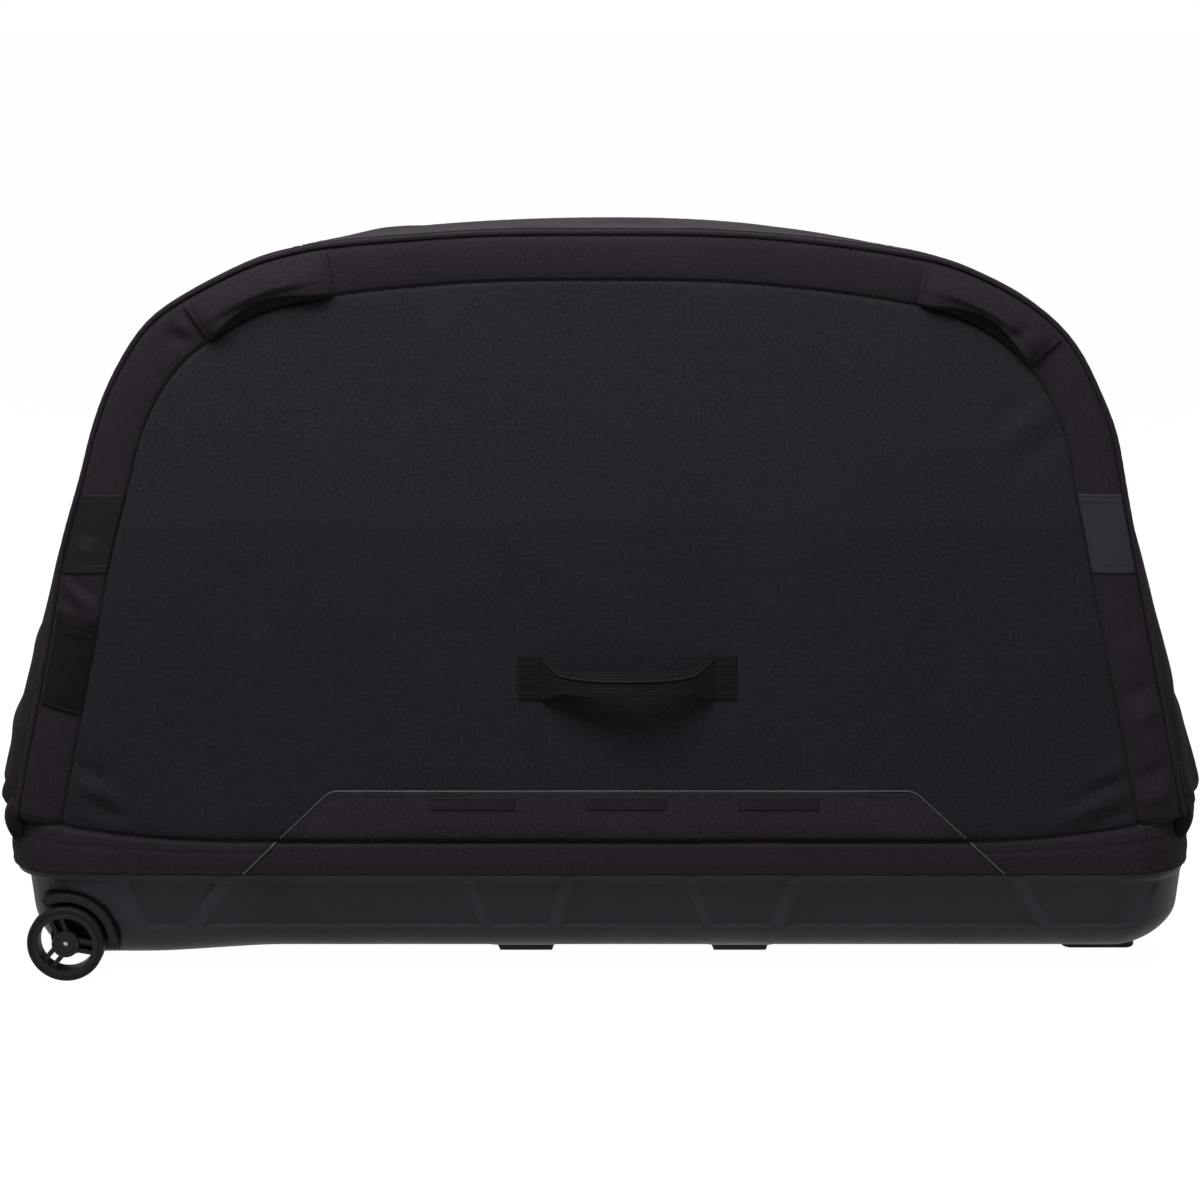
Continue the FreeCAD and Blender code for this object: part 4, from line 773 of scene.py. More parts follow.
def webbing_ribs(name):
    """Herringbone ribs of woven webbing."""
    net, enter, leave = effect(name, {"Rib": 0.0022}, ("Height", "Tone"))
    turns = net.maths("DIVIDE", math.pi, enter["Rib"])
    scaled = net.add("ShaderNodeVectorMath", {0: enter["Vector"], "Scale": turns}, operation="SCALE")
    parts = net.add("ShaderNodeSeparateXYZ", {0: scaled.outputs[0]}).outputs
    zigzag = net.maths("PINGPONG", net.maths("MULTIPLY", parts[1], 0.5), math.pi)
    herring = net.maths("ABSOLUTE", net.maths("SINE", net.maths("ADD", parts[0], zigzag)))
    ribs = net.maths("ABSOLUTE", net.maths("SINE", net.maths("MULTIPLY", parts[1], 0.5)))
    net.feed(leave["Height"], net.maths("ADD", net.maths("MULTIPLY", herring, 0.6), ribs))
    fleck = net.noise(enter["Vector"], net.maths("DIVIDE", 0.6, enter["Rib"]), 3.0, 0.7)
    net.feed(leave["Tone"], net.maths("MULTIPLY", net.fade(fleck, 0.25, 0.75), herring))
    return net.tree


EFFECTS = {woven_threads: "Woven threads", moulded_grain: "Moulded grain", webbing_ribs: "Webbing ribs"}
# Height below which the panel cloth is painted a shade darker, a painted shade for the less lit lower panel, and half
# the step's width
PAINTED_SHADE_EDGE = 0.53
PAINTED_SHADE_STEP = 0.006


def tinted(shade, factor):
    return tuple(min(1.0, part * factor) for part in shade) + (1.0,)


def new_finish(name, roughness, specular, **constants):
    """Material with one Principled shader and its constants set on the sockets."""
    finish = bpy.data.materials.new(name)
    finish.use_nodes = True
    tree = finish.node_tree
    tree.nodes.clear()
    net = Net(tree)
    shader = net.add("ShaderNodeBsdfPrincipled", {"Roughness": roughness, "Specular IOR Level": specular})
    for label, value in constants.items():
        shader.inputs[label.replace("_", " ")].default_value = value
    net.add("ShaderNodeOutputMaterial", {"Surface": shader.outputs[0]})
    return finish, net, shader.inputs


def surface(net, sockets, base, roughness, height, depth):
    """Feeds a shader its colour, its roughness and the bump of its relief."""
    net.feed(sockets["Base Color"], base)
    net.feed(sockets["Roughness"], roughness)
    feeds = {"Height": height, "Distance": depth, "Strength": 1.0}
    net.feed(sockets["Normal"], net.add("ShaderNodeBump", feeds).outputs[0])


def cloth_finish(name, shade, thread, depth, specular=0.06, sheen=0.02, contrast=0.45, lower_tone=1.0):
    """Woven cloth on the piece's own UV map, with an optional painted shade on its lower part."""
    finish, net, sockets = new_finish(name, 0.85, specular, Sheen_Weight=sheen, Sheen_Roughness=0.45)
    chart = net.add("ShaderNodeUVMap").outputs[0]
    weave = placed(net, woven_threads, chart, Thread=thread)
    yarn = net.mix(weave["Fleck"], tinted(shade, 1 - contrast * 0.6), tinted(shade, 1 + contrast))
    faded = net.mix(net.maths("MULTIPLY", weave["Wear"], 0.35), yarn, tinted(shade, 1.5))
    gaps = net.fade(weave["Height"], 0.0, 0.9, 0.55, 1.0)
    # Painted shade: the cloth below a given height is painted darker, standing in for less light on the lower panel
    height = net.add("ShaderNodeSeparateXYZ", {0: chart}).outputs[1]
    tone = net.fade(height, PAINTED_SHADE_EDGE - PAINTED_SHADE_STEP, PAINTED_SHADE_EDGE + PAINTED_SHADE_STEP, lower_tone, 1.0)
    toned = net.add("ShaderNodeVectorMath", {0: net.mix(gaps, tinted(shade, 0.35), faded), "Scale": tone},
                    operation="SCALE").outputs[0]
    surface(net, sockets, toned, net.fade(weave["Fleck"], 0.0, 1.0, 0.92, 0.74), weave["Height"], depth)
    return finish


def coated_finish(name, shade):
    """Fabric under a smooth rubbery coat."""
    finish, net, sockets = new_finish(name, 0.5, 0.10)
    weave = placed(net, woven_threads, net.add("ShaderNodeUVMap").outputs[0], Thread=0.0007)
    base = net.mix(weave["Wear"], tinted(shade, 0.85), tinted(shade, 1.12))
    surface(net, sockets, base, net.fade(weave["Fleck"], 0.0, 1.0, 0.62, 0.48), weave["Height"], 0.00006)
    return finish


def webbing_finish(name, shade, rib):
    """Ribbed webbing or zip tape on the piece's own UV map."""
    finish, net, sockets = new_finish(name, 0.65, 0.07, Sheen_Weight=0.02)
    ribs = placed(net, webbing_ribs, net.add("ShaderNodeUVMap").outputs[0], Rib=rib)
    base = net.mix(ribs["Tone"], tinted(shade, 0.6), tinted(shade, 2.2))
    surface(net, sockets, base, net.fade(ribs["Tone"], 0.0, 1.0, 0.75, 0.5), ribs["Height"], 0.00035)
    return finish


def moulded_finish(name, shade, grain, depth, roughness, specular, scuffs, sunk_painted_shade=1.0):
    """Grained plastic, rubber or foam on object coordinates, with painted shade where the mesh is marked as sunk."""
    finish, net, sockets = new_finish(name, roughness, specular)
    place = net.add("ShaderNodeTexCoord").outputs["Object"]
    mould = placed(net, moulded_grain, place, Grain=grain, Scuffs=scuffs)
    toned = net.mix(mould["Tone"], tinted(shade, 0.88), tinted(shade, 1.12))
    # Painted shade: points marked as sunk get a darker copy of the colour, for the shade in the recessed panels
    if sunk_painted_shade < 1.0:
        sunk = net.add("ShaderNodeAttribute", attribute_name="sunk").outputs["Fac"]
        painted_panel_shade = net.mix(mould["Tone"], tinted(shade, 0.88 * sunk_painted_shade), tinted(shade, 1.12 * sunk_painted_shade))
        toned = net.mix(sunk, toned, painted_panel_shade)
    base = net.mix(mould["Scuff"], toned, tinted(shade, 2.2))
    rough = net.fade(mould["Tone"], 0.0, 1.0, roughness + 0.06, roughness - 0.06)
    rough = net.maths("ADD", rough, net.maths("MULTIPLY", mould["Scuff"], 0.2))
    surface(net, sockets, base, rough, mould["Height"], depth)
    return finish


def metal_finish(name, shade, stretch, roughness):
    """Brushed or plated metal on object coordinates."""
    finish, net, sockets = new_finish(name, roughness, 0.5, Metallic=1.0)
    place = net.add("ShaderNodeTexCoord").outputs["Object"]
    brushed = net.add("ShaderNodeMapping", {"Vector": place, "Scale": stretch}).outputs[0]
    lines = net.noise(brushed, 1.0, 4.0, 0.6)
    mould = placed(net, moulded_grain, place)
    shaded = net.mix(lines, tinted(shade, 0.82), tinted(shade, 1.1))
    base = net.mix(mould["Scuff"], shaded, tinted(shade, 0.6))
    surface(net, sockets, base, net.fade(lines, 0.3, 0.7, roughness - 0.08, roughness + 0.1), lines, 0.00004)
    return finish


# Cloths, webbings and metals: how each is made, its shade and how much of it is used, then the maker's own values
FINISHES = {
    "panel cloth": (cloth_finish, "panel", 1.0, {"thread": 0.0011, "depth": 0.00022, "lower_tone": 0.90}),
    "border cloth": (cloth_finish, "border", 1.0, {"thread": 0.0009, "depth": 0.00018}),
    "gear pocket cloth": (cloth_finish, "border", 1.22, {"thread": 0.0010, "depth": 0.00020}),
    "pocket cloth": (cloth_finish, "border", 0.46, {"thread": 0.0008, "depth": 0.00015}),
    "gusset cloth": (cloth_finish, "gusset", 1.0,
                     {"thread": 0.0010, "depth": 0.00020, "specular": 0.035, "sheen": 0.0}),
    "coated cloth": (coated_finish, "coated", 1.25, {}),
    # Lighter copy of the coated cloth: a painted highlight for the front's right patch
    "bright coated cloth": (coated_finish, "coated", 4.3, {}),
    "carry webbing": (webbing_finish, "webbing", 1.0, {"rib": 0.0022}),
    # Lighter copy of the webbing for the fold's rolled edge: a painted highlight
    "webbing edge": (webbing_finish, "webbing", 3.6, {"rib": 0.0012}),
    "zip tape": (webbing_finish, "border", 1.0, {"rib": 0.0012}),
    "brushed alloy": (metal_finish, "alloy", 1.0, {"stretch": (3.0, 400.0, 400.0), "roughness": 0.35}),
    "plated steel": (metal_finish, "steel", 1.0, {"stretch": (250.0, 250.0, 250.0), "roughness": 0.3}),
    "blackened zinc": (metal_finish, "zinc", 1.0, {"stretch": (300.0, 300.0, 300.0), "roughness": 0.38}),
}
# Mouldings and the like: shade, grain, depth of the grain, roughness, specular level, scuffs, and painted shade of
# sunk panels
MOULDINGS = {
    "piping cord": ("cord", 0.0008, 0.00005, 0.40, 0.40, 0.10),
    "zip teeth": ("plastic", 0.0006, 0.00003, 0.35, 0.50, 0.10),
    "tray plastic": ("tray", 0.0016, 0.00016, 0.55, 0.20, 0.25, 0.64),
    "wheel plastic": ("plastic", 0.0009, 0.00006, 0.45, 0.20, 0.30),
    "housing plastic": ("plastic", 0.0012, 0.00010, 0.50, 0.18, 0.25),
    "rubber": ("rubber", 0.0008, 0.00008, 0.62, 0.14, 0.40),
    "board": ("board", 0.0030, 0.00020, 0.60, 0.30, 0.20),
    "rod sleeve": ("plastic", 0.0010, 0.00008, 0.40, 0.50, 0.20),
    "mount plastic": ("plastic", 0.0010, 0.00008, 0.45, 0.45, 0.20),
    "knob plastic": ("knob", 0.0008, 0.00010, 0.50, 0.40, 0.20),
    "closed-cell foam": ("foam", 0.0022, 0.00030, 0.85, 0.15, 0.10),
    "sewing thread": ("thread", 0.0005, 0.00004, 0.55, 0.20, 0.00),
}


def finish_called(name):
    """The finish of that name, which is made the first time."""
    if name in bpy.data.materials:
        return bpy.data.materials[name]
    shades = bpy.context.scene.case_finish
    if name in MOULDINGS:
        shade, *values = MOULDINGS[name]
        return moulded_finish(name, getattr(shades, shade), *values)
    make, shade, factor, values = FINISHES[name]
    return make(name, tuple(factor * part for part in getattr(shades, shade)), **values)


# Share of the arch at which the panel's grid turns its corners, and how far its rows crowd to the edges
PANEL_CORNER = 0.37
PANEL_CROWDING = 0.12
PANEL_THICKNESS = 0.0075
BORDER_THICKNESS = 0.0048


class TRAVEL_CASE_OT_faces(bpy.types.Operator):
    """Sew the padded panel, its border and the piping of the cover and the back"""

    bl_idname = "travel_case.faces"
    bl_label = "Cover and back"

    def execute(self, context):
        for side, _, word, body in FACES:
            self.panel(side, word, body)
            self.border(side, word, body)
            self.piping(side, word, body)
        return {"FINISHED"}

    def panel(self, side, word, body):
        arch = outline()
        _, seam = border_edges()
        foot_x = arch.side_x(seam, shape().crease_height + FOOT_GAP)
        foot_z = cover_foot(foot_x)

        def place(u, v):
            u = u - PANEL_CROWDING * np.sin(FULL_TURN * u)
            v = v - PANEL_CROWDING * np.sin(FULL_TURN * v)
            low_x = (2 * u - 1) * foot_x
            low_z = cover_foot(low_x)
            top_x, top_z = arch.point(PANEL_CORNER + u * (1 - 2 * PANEL_CORNER), seam, foot_z)
            left_x, left_z = arch.point(v * PANEL_CORNER, seam, foot_z)
            corner_x, corner_z = arch.point(np.array([PANEL_CORNER]), seam, foot_z)
            x = (1 - v) * low_x + v * top_x + (1 - u) * left_x - u * left_x
            x -= (2 * u - 1) * ((1 - v) * foot_x - v * corner_x[0])
            z = (1 - v) * low_z + v * top_z + left_z - (1 - v) * foot_z - v * corner_z[0]
            return on_face(x, z, side)

        piece = cloth(f"{word}_panel_skin", 190, 116, place, face_chart(place), side)
        thicken(piece, PANEL_THICKNESS)
        keep_off_board(piece)
        dress(piece, body, "panel cloth", "panel_fabric", f"{word}_panel")

    def border(self, side, word, body):
        sizes = shape()
        arch = outline()
        edge, _ = border_edges()

        def place(u, v):
            inset = edge + (1 - v) * sizes.border_width
            foot = cover_foot(arch.side_x(inset, sizes.crease_height + 0.02))
            return on_face(*arch.point(u, inset, foot), side)

        piece = cloth(f"{word}_border_skin", 420, 22, place,
                      lambda u, v: (u * 2 * arch.half_length, v * sizes.border_width), side)
        thicken(piece, BORDER_THICKNESS)
        keep_off_board(piece)
        dress(piece, body, "border cloth", "border_fabric", f"{word}_border")

    def piping(self, side, word, body):
        sizes = shape()
        arch = outline()
        radius = sizes.piping_radius
        foot = cover_foot(arch.side_x(radius, sizes.crease_height))

        def place(u, v):
            turn = FULL_TURN * v
            x, z = settle(*arch.point(u, radius, foot), side)
            out_x, out_z = arch.out(u)
            thick = radius * (1 + 0.03 * np.sin(u * 900))
            y = side * (sizes.half_depth - radius - 1.3 * corner_sink(x, z) + thick * np.sin(turn))
            return x + out_x * thick * np.cos(turn), y, z + out_z * thick * np.cos(turn)

        piece = cloth(f"{word}_piping_cord", 460, 12, place,
                      lambda u, v: (u * 2 * arch.half_length, v * 2 * math.pi * radius), side, closed=True)
        dress(piece, body, "border cloth", "piping_cord", f"{word}_piping")


GUSSET_THICKNESS = 0.0070
# End rolls: half thickness, half height, how far they stand in from the frame, how far they fill out, and their lap
ROLL_DEPTH, ROLL_HEIGHT = 0.0085, 0.0260
ROLL_SET_IN, ROLL_FILL, ROLL_LAP = 0.0195, 0.0115, 0.007
ROLL_SWELL = 0.0040


class TRAVEL_CASE_OT_gusset(bpy.types.Operator):
    """Swell the soft band between the cover and the back, and roll its folds at both ends"""

    bl_idname = "travel_case.gusset"
    bl_label = "Gusset"

    def execute(self, context):
        low_y, high_y = (corner.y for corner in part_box("gusset_top"))
        run = 2 * outline().half_length
        seam = gusset_share(-GUSSET_SEAM)
        for word, first, last, columns in (("left", 0.0, seam, 180), ("top", seam, 1 - seam, 150),
                                           ("right", 1 - seam, 1.0, 180)):
            span = last - first
            piece = cloth(f"gusset_band_{word}", columns, 44,
                          lambda u, v, first=first, span=span: gusset_point(first + u * span, v),
                          lambda u, v, first=first, span=span: ((first + u * span) * run, v * (high_y - low_y)))
            thicken(piece, GUSSET_THICKNESS)
            dress(piece, "case", "gusset cloth", "gusset_fabric", f"gusset_{word}")
        self.end_rolls(low_y, high_y)
        return {"FINISHED"}

    def end_rolls(self, low_y, high_y):
        """Rolls of slack cloth between the gusset's foot and the skirt."""
        low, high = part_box("end_folds")
        for sign, word in ENDS:
            def place(u, v, sign=sign):
                turn = FULL_TURN * v
                y = low_y - ROLL_LAP + u * (high_y - low_y + ROLL_LAP)
                ends = 1 - 0.2 * (1 - np.sqrt(np.clip(1 - (2 * u - 1) ** 10, 0, 1)))
                sag = 0.0022 * np.sin(y * 70 + sign) + 0.0012 * np.sin(y * 153 + 2)
                depth = ROLL_DEPTH * (1 + 0.22 * np.sin(turn * 2 + 1.3))
                fill = 1 - np.abs(2 * u - 1) ** 3
                x = high.x - ROLL_SET_IN + ROLL_FILL * fill + 0.5 * sag + ends * depth * np.cos(turn)
                middle = (low.z + high.z) / 2 + 0.002 + 0.0016 * np.sin(y * 88 + sign * 2)
                return sign * x, y, middle + ends * ROLL_HEIGHT * np.sin(turn)

            piece = cloth(f"end_roll_{word}", 90, 24, place, lambda u, v: (u * (high_y - low_y), v * 0.12),
                          closed=True)
            puff(piece, ROLL_SWELL)
            dress(piece, "case", "gusset cloth", "gusset_fabric", "end_folds")


SKIRT_THICKNESS = 0.0030
FOLD_THICKNESS = 0.0010
# Lengths of the folded cloth at the crease, each a straight strip: start of the first, then names and ends
FOLD_START = -0.664
FOLD_LENGTHS = (("fold_corner_left", -0.550), ("fold_side_left", -0.420), ("fold_cloth", 0.420),
                ("fold_side_right", 0.550), ("fold_corner_right", 0.664))


class TRAVEL_CASE_OT_skirt(bpy.types.Operator):
    """Sew the skirt round the tray's rim and the fold that the cover turns on"""

    bl_idname = "travel_case.skirt"
    bl_label = "Skirt and fold"

    def execute(self, context):
        self.skirt()
        first = FOLD_START
        for name, last in FOLD_LENGTHS:
            self.fold(name, first, last)
            first = last
        return {"FINISHED"}

    def skirt(self):
        run = Rim().run
        height = Rim().top - shape().hem_height
        piece = cloth("skirt_band", 640, 26, lambda u, v: skirt_point(u, v)[:3], lambda u, v: (u * run, v * height))
        edit(piece, (bpy.ops.mesh.remove_doubles, {"threshold": 1e-6}))
        thicken(piece, SKIRT_THICKNESS)
        dress(piece, "case", "border cloth", "border_fabric", "lower_skirt")

    def fold(self, name, first, last):
        """One length of cloth between the skirt and the cover, along the crease."""
        sizes = shape()
        rim = Rim()
        span = last - first

        def place(u, v):
            x = first + u * span
            low_y = rim.front_y(x) + 0.0028
            low_z = rim.top - 0.0015 + rim_lift(x, low_y)
            high_z = sizes.crease_height + 0.0045 + corner_lift(x)
            high_y = -sizes.half_depth - face_rise(x, high_z, FRONT) + 0.0012
            dip = 0.0016 * hill(v) ** 0.7 + 0.0005 * unevenness(x, v, 0.12, 0.9)
            return x, low_y + v * (high_y - low_y) + dip, low_z + v * (high_z - low_z)

        piece = cloth(name, int(abs(span) * 420), 10, place, lambda u, v: (u * span, v * 0.012))
        thicken(piece, FOLD_THICKNESS)
        corners = np.stack(place(np.array([0.0, 1.0, 0.0, 1.0]), np.array([0.0, 0.0, 1.0, 1.0])), axis=1)
        along = Vector(corners[1] - corners[0]).normalized()
        low = Vector(corners[0] + corners[1]) / 2
        across = Vector(corners[2] + corners[3]) / 2 - low
        across -= along * across.dot(along)
        nodes = ("fold_strip",) if name == "fold_cloth" else ()
        dress(piece, ("case", "cover", low + across * 0.25, low + across * 0.75), "border cloth", "border_fabric",
              *nodes)


# Gear pocket: ends of its top edge, foot of the part on the cover, top of the part on the skirt, strip and areas
POCKET_TOP = (-0.305, 0.355)
POCKET_FOOT_Z, POCKET_HEM_TOP = 0.1692, 0.1618
POCKET_AREA, POCKET_HEM_AREA = 0.0407, 0.0275
POCKET_THICKNESS = 0.0010
# Its piping: radius, height of the foot, and how far its corners are rounded
POCKET_CORD, POCKET_CORD_FOOT, POCKET_CORD_SOFTNESS = 0.0010, 0.1685, 0.010
# The cord's tails on the skirt: radius, top and length
TAIL_CORD, TAIL_TOP, TAIL_LENGTH = 0.0009, 0.1650, 0.0365
# Its tabs: ends along X
POCKET_TABS = ((-0.192, -0.096), (-0.017, 0.075), (0.156, 0.247))
TAB_THICKNESS = 0.0009


class TRAVEL_CASE_OT_gear_pocket(bpy.types.Operator):
    """Lay the gear pocket across the crease, with its piping and its three tabs"""

    bl_idname = "travel_case.gear_pocket"
    bl_label = "Gear pocket"

    def execute(self, context):
        hem_low, hem_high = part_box("pocket_hem")
        top_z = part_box("gear_pocket")[1].z
        skirt_face = -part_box("lower_skirt")[0].y
        height = top_z - hem_low.z

        def edges(z):
            share = (z - hem_low.z) / height
            return (hem_low.x + share * (POCKET_TOP[0] - hem_low.x),
                    hem_high.x + share * (POCKET_TOP[1] - hem_high.x))

        def upper(u, v):
            z = POCKET_FOOT_Z + v * (top_z - POCKET_FOOT_Z)
            first, last = edges(z)
            x = first + u * (last - first)
            fill = 0.0016 * hill(u) ** 0.25 * (0.4 + 0.6 * smooth(v * 3)) + 0.0007 * unevenness(x, z, 0.09, 0.3)
            return on_face(x, z, FRONT, 0.0011 + np.maximum(fill, 0))

        def lower(u, v):
            z = hem_low.z - 0.0008 + v * (POCKET_HEM_TOP - hem_low.z)
            first, last = edges(z)
            x = first + u * (last - first)
            fill = 0.0010 * hill(v) + 0.0006 * unevenness(x, z, 0.10, 1.4) * hill(u) ** 0.2
            return x, -(skirt_face + 0.0020 + np.maximum(fill, 0)), z

        for name, place, rows, body, finish, node, area, under in (
            ("pocket_face", upper, 26, "cover", "gear pocket cloth", "gear_pocket", POCKET_AREA, "cover_panel_skin"),
            ("pocket_foot", lower, 16, "case", "border cloth", "pocket_hem", POCKET_HEM_AREA, "skirt_band"),
        ):
            piece = cloth(name, 220, rows, place, face_chart(place))
            thicken(piece, POCKET_THICKNESS)
            dress(piece, body, finish, "border_fabric", node)
        self.piping(edges, top_z)
        self.tails(edges, skirt_face)
        self.tabs()
        return {"FINISHED"}

    def piping(self, edges, top_z):
        """Cord along the pocket's top and sides."""
        first, last = edges(POCKET_CORD_FOOT)
        high_first, high_last = edges(top_z)
        spots = np.array(((first, POCKET_CORD_FOOT), (high_first, top_z), (high_last, top_z),
                          (last, POCKET_CORD_FOOT)))
        runs = np.linalg.norm(np.diff(spots, axis=0), axis=1)
        marks = np.concatenate(((0.0,), np.cumsum(runs)))

        def line(u):
            s = u * marks[-1]
            total_x, total_z = np.zeros_like(s), np.zeros_like(s)
            shifts = (-0.8, -0.4, 0.0, 0.4, 0.8)
            for shift in shifts:
                moved = np.clip(s + shift * POCKET_CORD_SOFTNESS, 0, marks[-1])
                total_x += np.interp(moved, marks, spots[:, 0])
                total_z += np.interp(moved, marks, spots[:, 1])
            return total_x / len(shifts), total_z / len(shifts)

        def place(u, v):
            x, z = line(u)
            ahead_x, ahead_z = line(np.minimum(u + 1e-4, 1))
            back_x, back_z = line(np.maximum(u - 1e-4, 0))
            go_x, go_z = ahead_x - back_x, ahead_z - back_z
            size = np.hypot(go_x, go_z)
            turn = FULL_TURN * v
            x = x - go_z / size * POCKET_CORD * np.cos(turn)
            z = z + go_x / size * POCKET_CORD * np.cos(turn)
            x, y, z = on_face(x, z, FRONT, 0.0014)
            return x, y - POCKET_CORD * np.sin(turn), z

        piece = cloth("pocket_piping_cord", 260, 8, place, lambda u, v: (u * marks[-1], v * 0.01), closed=True)
        dress(piece, "cover", "piping cord", "piping_cord", "pocket_piping")

    def tails(self, edges, skirt_face):
        """The cord's two ends down the skirt."""
        for index, (sign, word) in enumerate(ENDS):
            def place(u, v, index=index, sign=sign):
                z = TAIL_TOP - u * TAIL_LENGTH
                x = edges(z)[index]
                turn = FULL_TURN * v
                y = -(skirt_face + 0.0036) + TAIL_CORD * np.sin(turn) + 0.004 * smooth(1 - u * 8)
                return x + TAIL_CORD * np.cos(turn), y, z + sign * 0.0006 * np.cos(turn)

            piece = cloth(f"pocket_piping_tail_{word}", 24, 8, place, lambda u, v: (u * 0.048, v * 0.01), closed=True)
            dress(piece, "case", "piping cord", "piping_cord")

    def tabs(self):
        low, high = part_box("pocket_tabs")
        for number, (first, last) in enumerate(POCKET_TABS, 1):
            def place(u, v, first=first, last=last):
                x = first + u * (last - first)
                z = low.z + v * (high.z - low.z)
                soft = 0.0007 * (hill(u) * hill(v)) ** 0.15
                return on_face(x, z, FRONT, 0.0031 + soft)

            piece = cloth(f"pocket_tab_{number}", 40, 10, place, lambda u, v: (u * 0.096, v * 0.016))
            thicken(piece, TAB_THICKNESS)
            dress(piece, "cover", "border cloth", "border_fabric", "pocket_tabs")


def round_shoulder(angle, inset):
    """Point of the right half of the arch at an angle about its shoulder, and straight on past the shoulder."""
    arch = outline()
    held = np.minimum(angle, arch.top_angle)
    over = (angle - held) * arch.radius
    x = arch.centre[0] + (arch.radius - inset) * np.cos(held) - over * math.sin(arch.top_angle)
    return x, arch.centre[1] + (arch.radius - inset) * np.sin(held) + over * math.cos(arch.top_angle)


# Grab handles: width, inset of the sewn edge, how far the open edge hollows, thickness, swell and rounding
GRAB_WIDTH, GRAB_INSET, GRAB_HOLLOW = 0.044, 0.009, 0.0100
GRAB_THICKNESS, GRAB_SWELL, GRAB_ROUNDING = 0.0046, 0.0018, 0.0014


class TRAVEL_CASE_OT_grab_handles(bpy.types.Operator):
    """Pad the four grab handles at the upper corners"""

    bl_idname = "travel_case.grab_handles"
    bl_label = "Grab handles"

    def execute(self, context):
        for name, side, sign, first, last, body, node in GRABS:
            self.flap(name, side, sign, math.radians(first), math.radians(last), body, node)
        return {"FINISHED"}

    def flap(self, name, side, sign, first, last, body, node):
        def place(u, v):
            share = u if sign * side > 0 else 1 - u
            inset = GRAB_INSET + (1 - v) * GRAB_WIDTH - GRAB_HOLLOW * hill(u) ** 0.8 * (1 - v)
            x, z = round_shoulder(first + share * (last - first), inset)
            ends = np.clip(np.minimum(u, 1 - u) / 0.16, 0, 1)
            swell = np.sin(0.5 * math.pi * ends) ** 0.8
            crown = np.where(v < 0.5, 1.0, hill(v) ** 0.5)
            tilt = 0.0030 + 0.0085 * swell * smooth((1 - v) * 1.1) + 0.0036 * swell * crown
            tilt -= 0.0016 * np.exp(-((np.minimum(u, 1 - u) - 0.035) / 0.012) ** 2)
            tilt += 0.0005 * unevenness(x, z, 0.05, 0.6)
            return on_face(sign * x, z, side, tilt)

        piece = cloth(name, 70, 24, place, lambda u, v: (u * 0.152, v * GRAB_WIDTH))
        edit(piece, (bpy.ops.mesh.normals_make_consistent, {"inside": False}))
        face_out(piece, side)
        thicken(piece, GRAB_THICKNESS)
        puff(piece, GRAB_SWELL)
        apply(piece, "BEVEL", width=GRAB_ROUNDING, segments=2, limit_method="ANGLE", angle_limit=math.radians(50))
        dress(piece, body, "border cloth", "border_fabric", node)


# Trim on the borders: thickness of the patches and the pocket, and how high both lie over the cloth
PATCH_WIDTH = 0.050
PATCH_THICKNESS, PATCH_LAY = 0.0009, 0.0010
LABEL_THICKNESS, LABEL_LAY = 0.0010, 0.0011
# Label pocket: width, height, height of its foot at the arch's edge, and how far it falls towards the panel
LABEL_WIDTH, LABEL_HEIGHT, LABEL_FOOT, LABEL_FALL = 0.047, 0.109, 0.326, 0.0145


class TRAVEL_CASE_OT_border_trim(bpy.types.Operator):
    """Lay the coated patches and the label pocket on the borders"""

    bl_idname = "travel_case.border_trim"
    bl_label = "Border trim"

    def execute(self, context):
        for face, node in zip(FACES, ("edge_patches", "back_edge_patches")):
            for sign, end in ENDS:
                self.patch(face, sign, end, node)
        self.label_pocket()
        return {"FINISHED"}

    def patch(self, face, sign, end, node):
        side, word, skin, body = face
        arch = outline()
        edge, _ = border_edges()
        low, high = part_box("edge_patches")

        def place(u, v):
            share = u if sign * -side > 0 else 1 - u
            z = low.z + v * (high.z - low.z)
            inset = edge + 0.0012 + (1 - share) * (shape().border_width - 0.0016)
            hem = 0.0005 * ((v < 0.10) | (v > 0.90))
            return on_face(sign * arch.side_x(inset, z), z, side, PATCH_LAY + hem)

        piece = cloth(f"{word}_edge_patch_{end}", 30, 60, place, lambda u, v: (u * PATCH_WIDTH, v * 0.09))
        face_out(piece, side)
        thicken(piece, PATCH_THICKNESS)
        # The front's right patch gets the lighter copy, a painted highlight for the light it catches from the right
        finish = "bright coated cloth" if side == FRONT and sign > 0 else "coated cloth"
        dress(piece, body, finish, "coated_fabric", node)

    def label_pocket(self):
        arch = outline()
        edge, _ = border_edges()

        def place(u, v):
            inset = edge + 0.003 + u * (shape().border_width - 0.0035)
            z = LABEL_FOOT + v * LABEL_HEIGHT - u * LABEL_FALL
            hem = 0.0010 * (v > 0.885)
            fill = 0.0026 * hill(u) ** 0.5 * smooth((1 - v) * 6) * smooth(v * 5) + 0.0014 * hill(u) * (v > 0.8)
            return on_face(-arch.side_x(inset, z), z, FRONT, LABEL_LAY + hem + fill)

        piece = cloth("label_pocket_face", 26, 56, place, lambda u, v: (u * LABEL_WIDTH, v * LABEL_HEIGHT))
        face_out(piece, FRONT)
        thicken(piece, LABEL_THICKNESS)
        dress(piece, "cover", "pocket cloth", "border_fabric", "label_pocket")


# Carry handles: half height and half thickness of the folded grip, half thickness of the sewn ends
GRIP_HALF_HEIGHT, GRIP_HALF_THICKNESS, STRAP_HALF_THICKNESS = 0.0132, 0.0040, 0.0017
# How far the grip bows out, the distance from its middle at which it starts to open, and the length of a sewn end
GRIP_RISE, GRIP_OPENS, STRAP_END = 0.031, 0.070, 0.025
# Rows of stitches along the grip, as shares of its half height
STRAP_ROWS = (-0.24, -0.50)
BEAD_RADIUS = 0.0010
END_THICKNESS = 0.0022


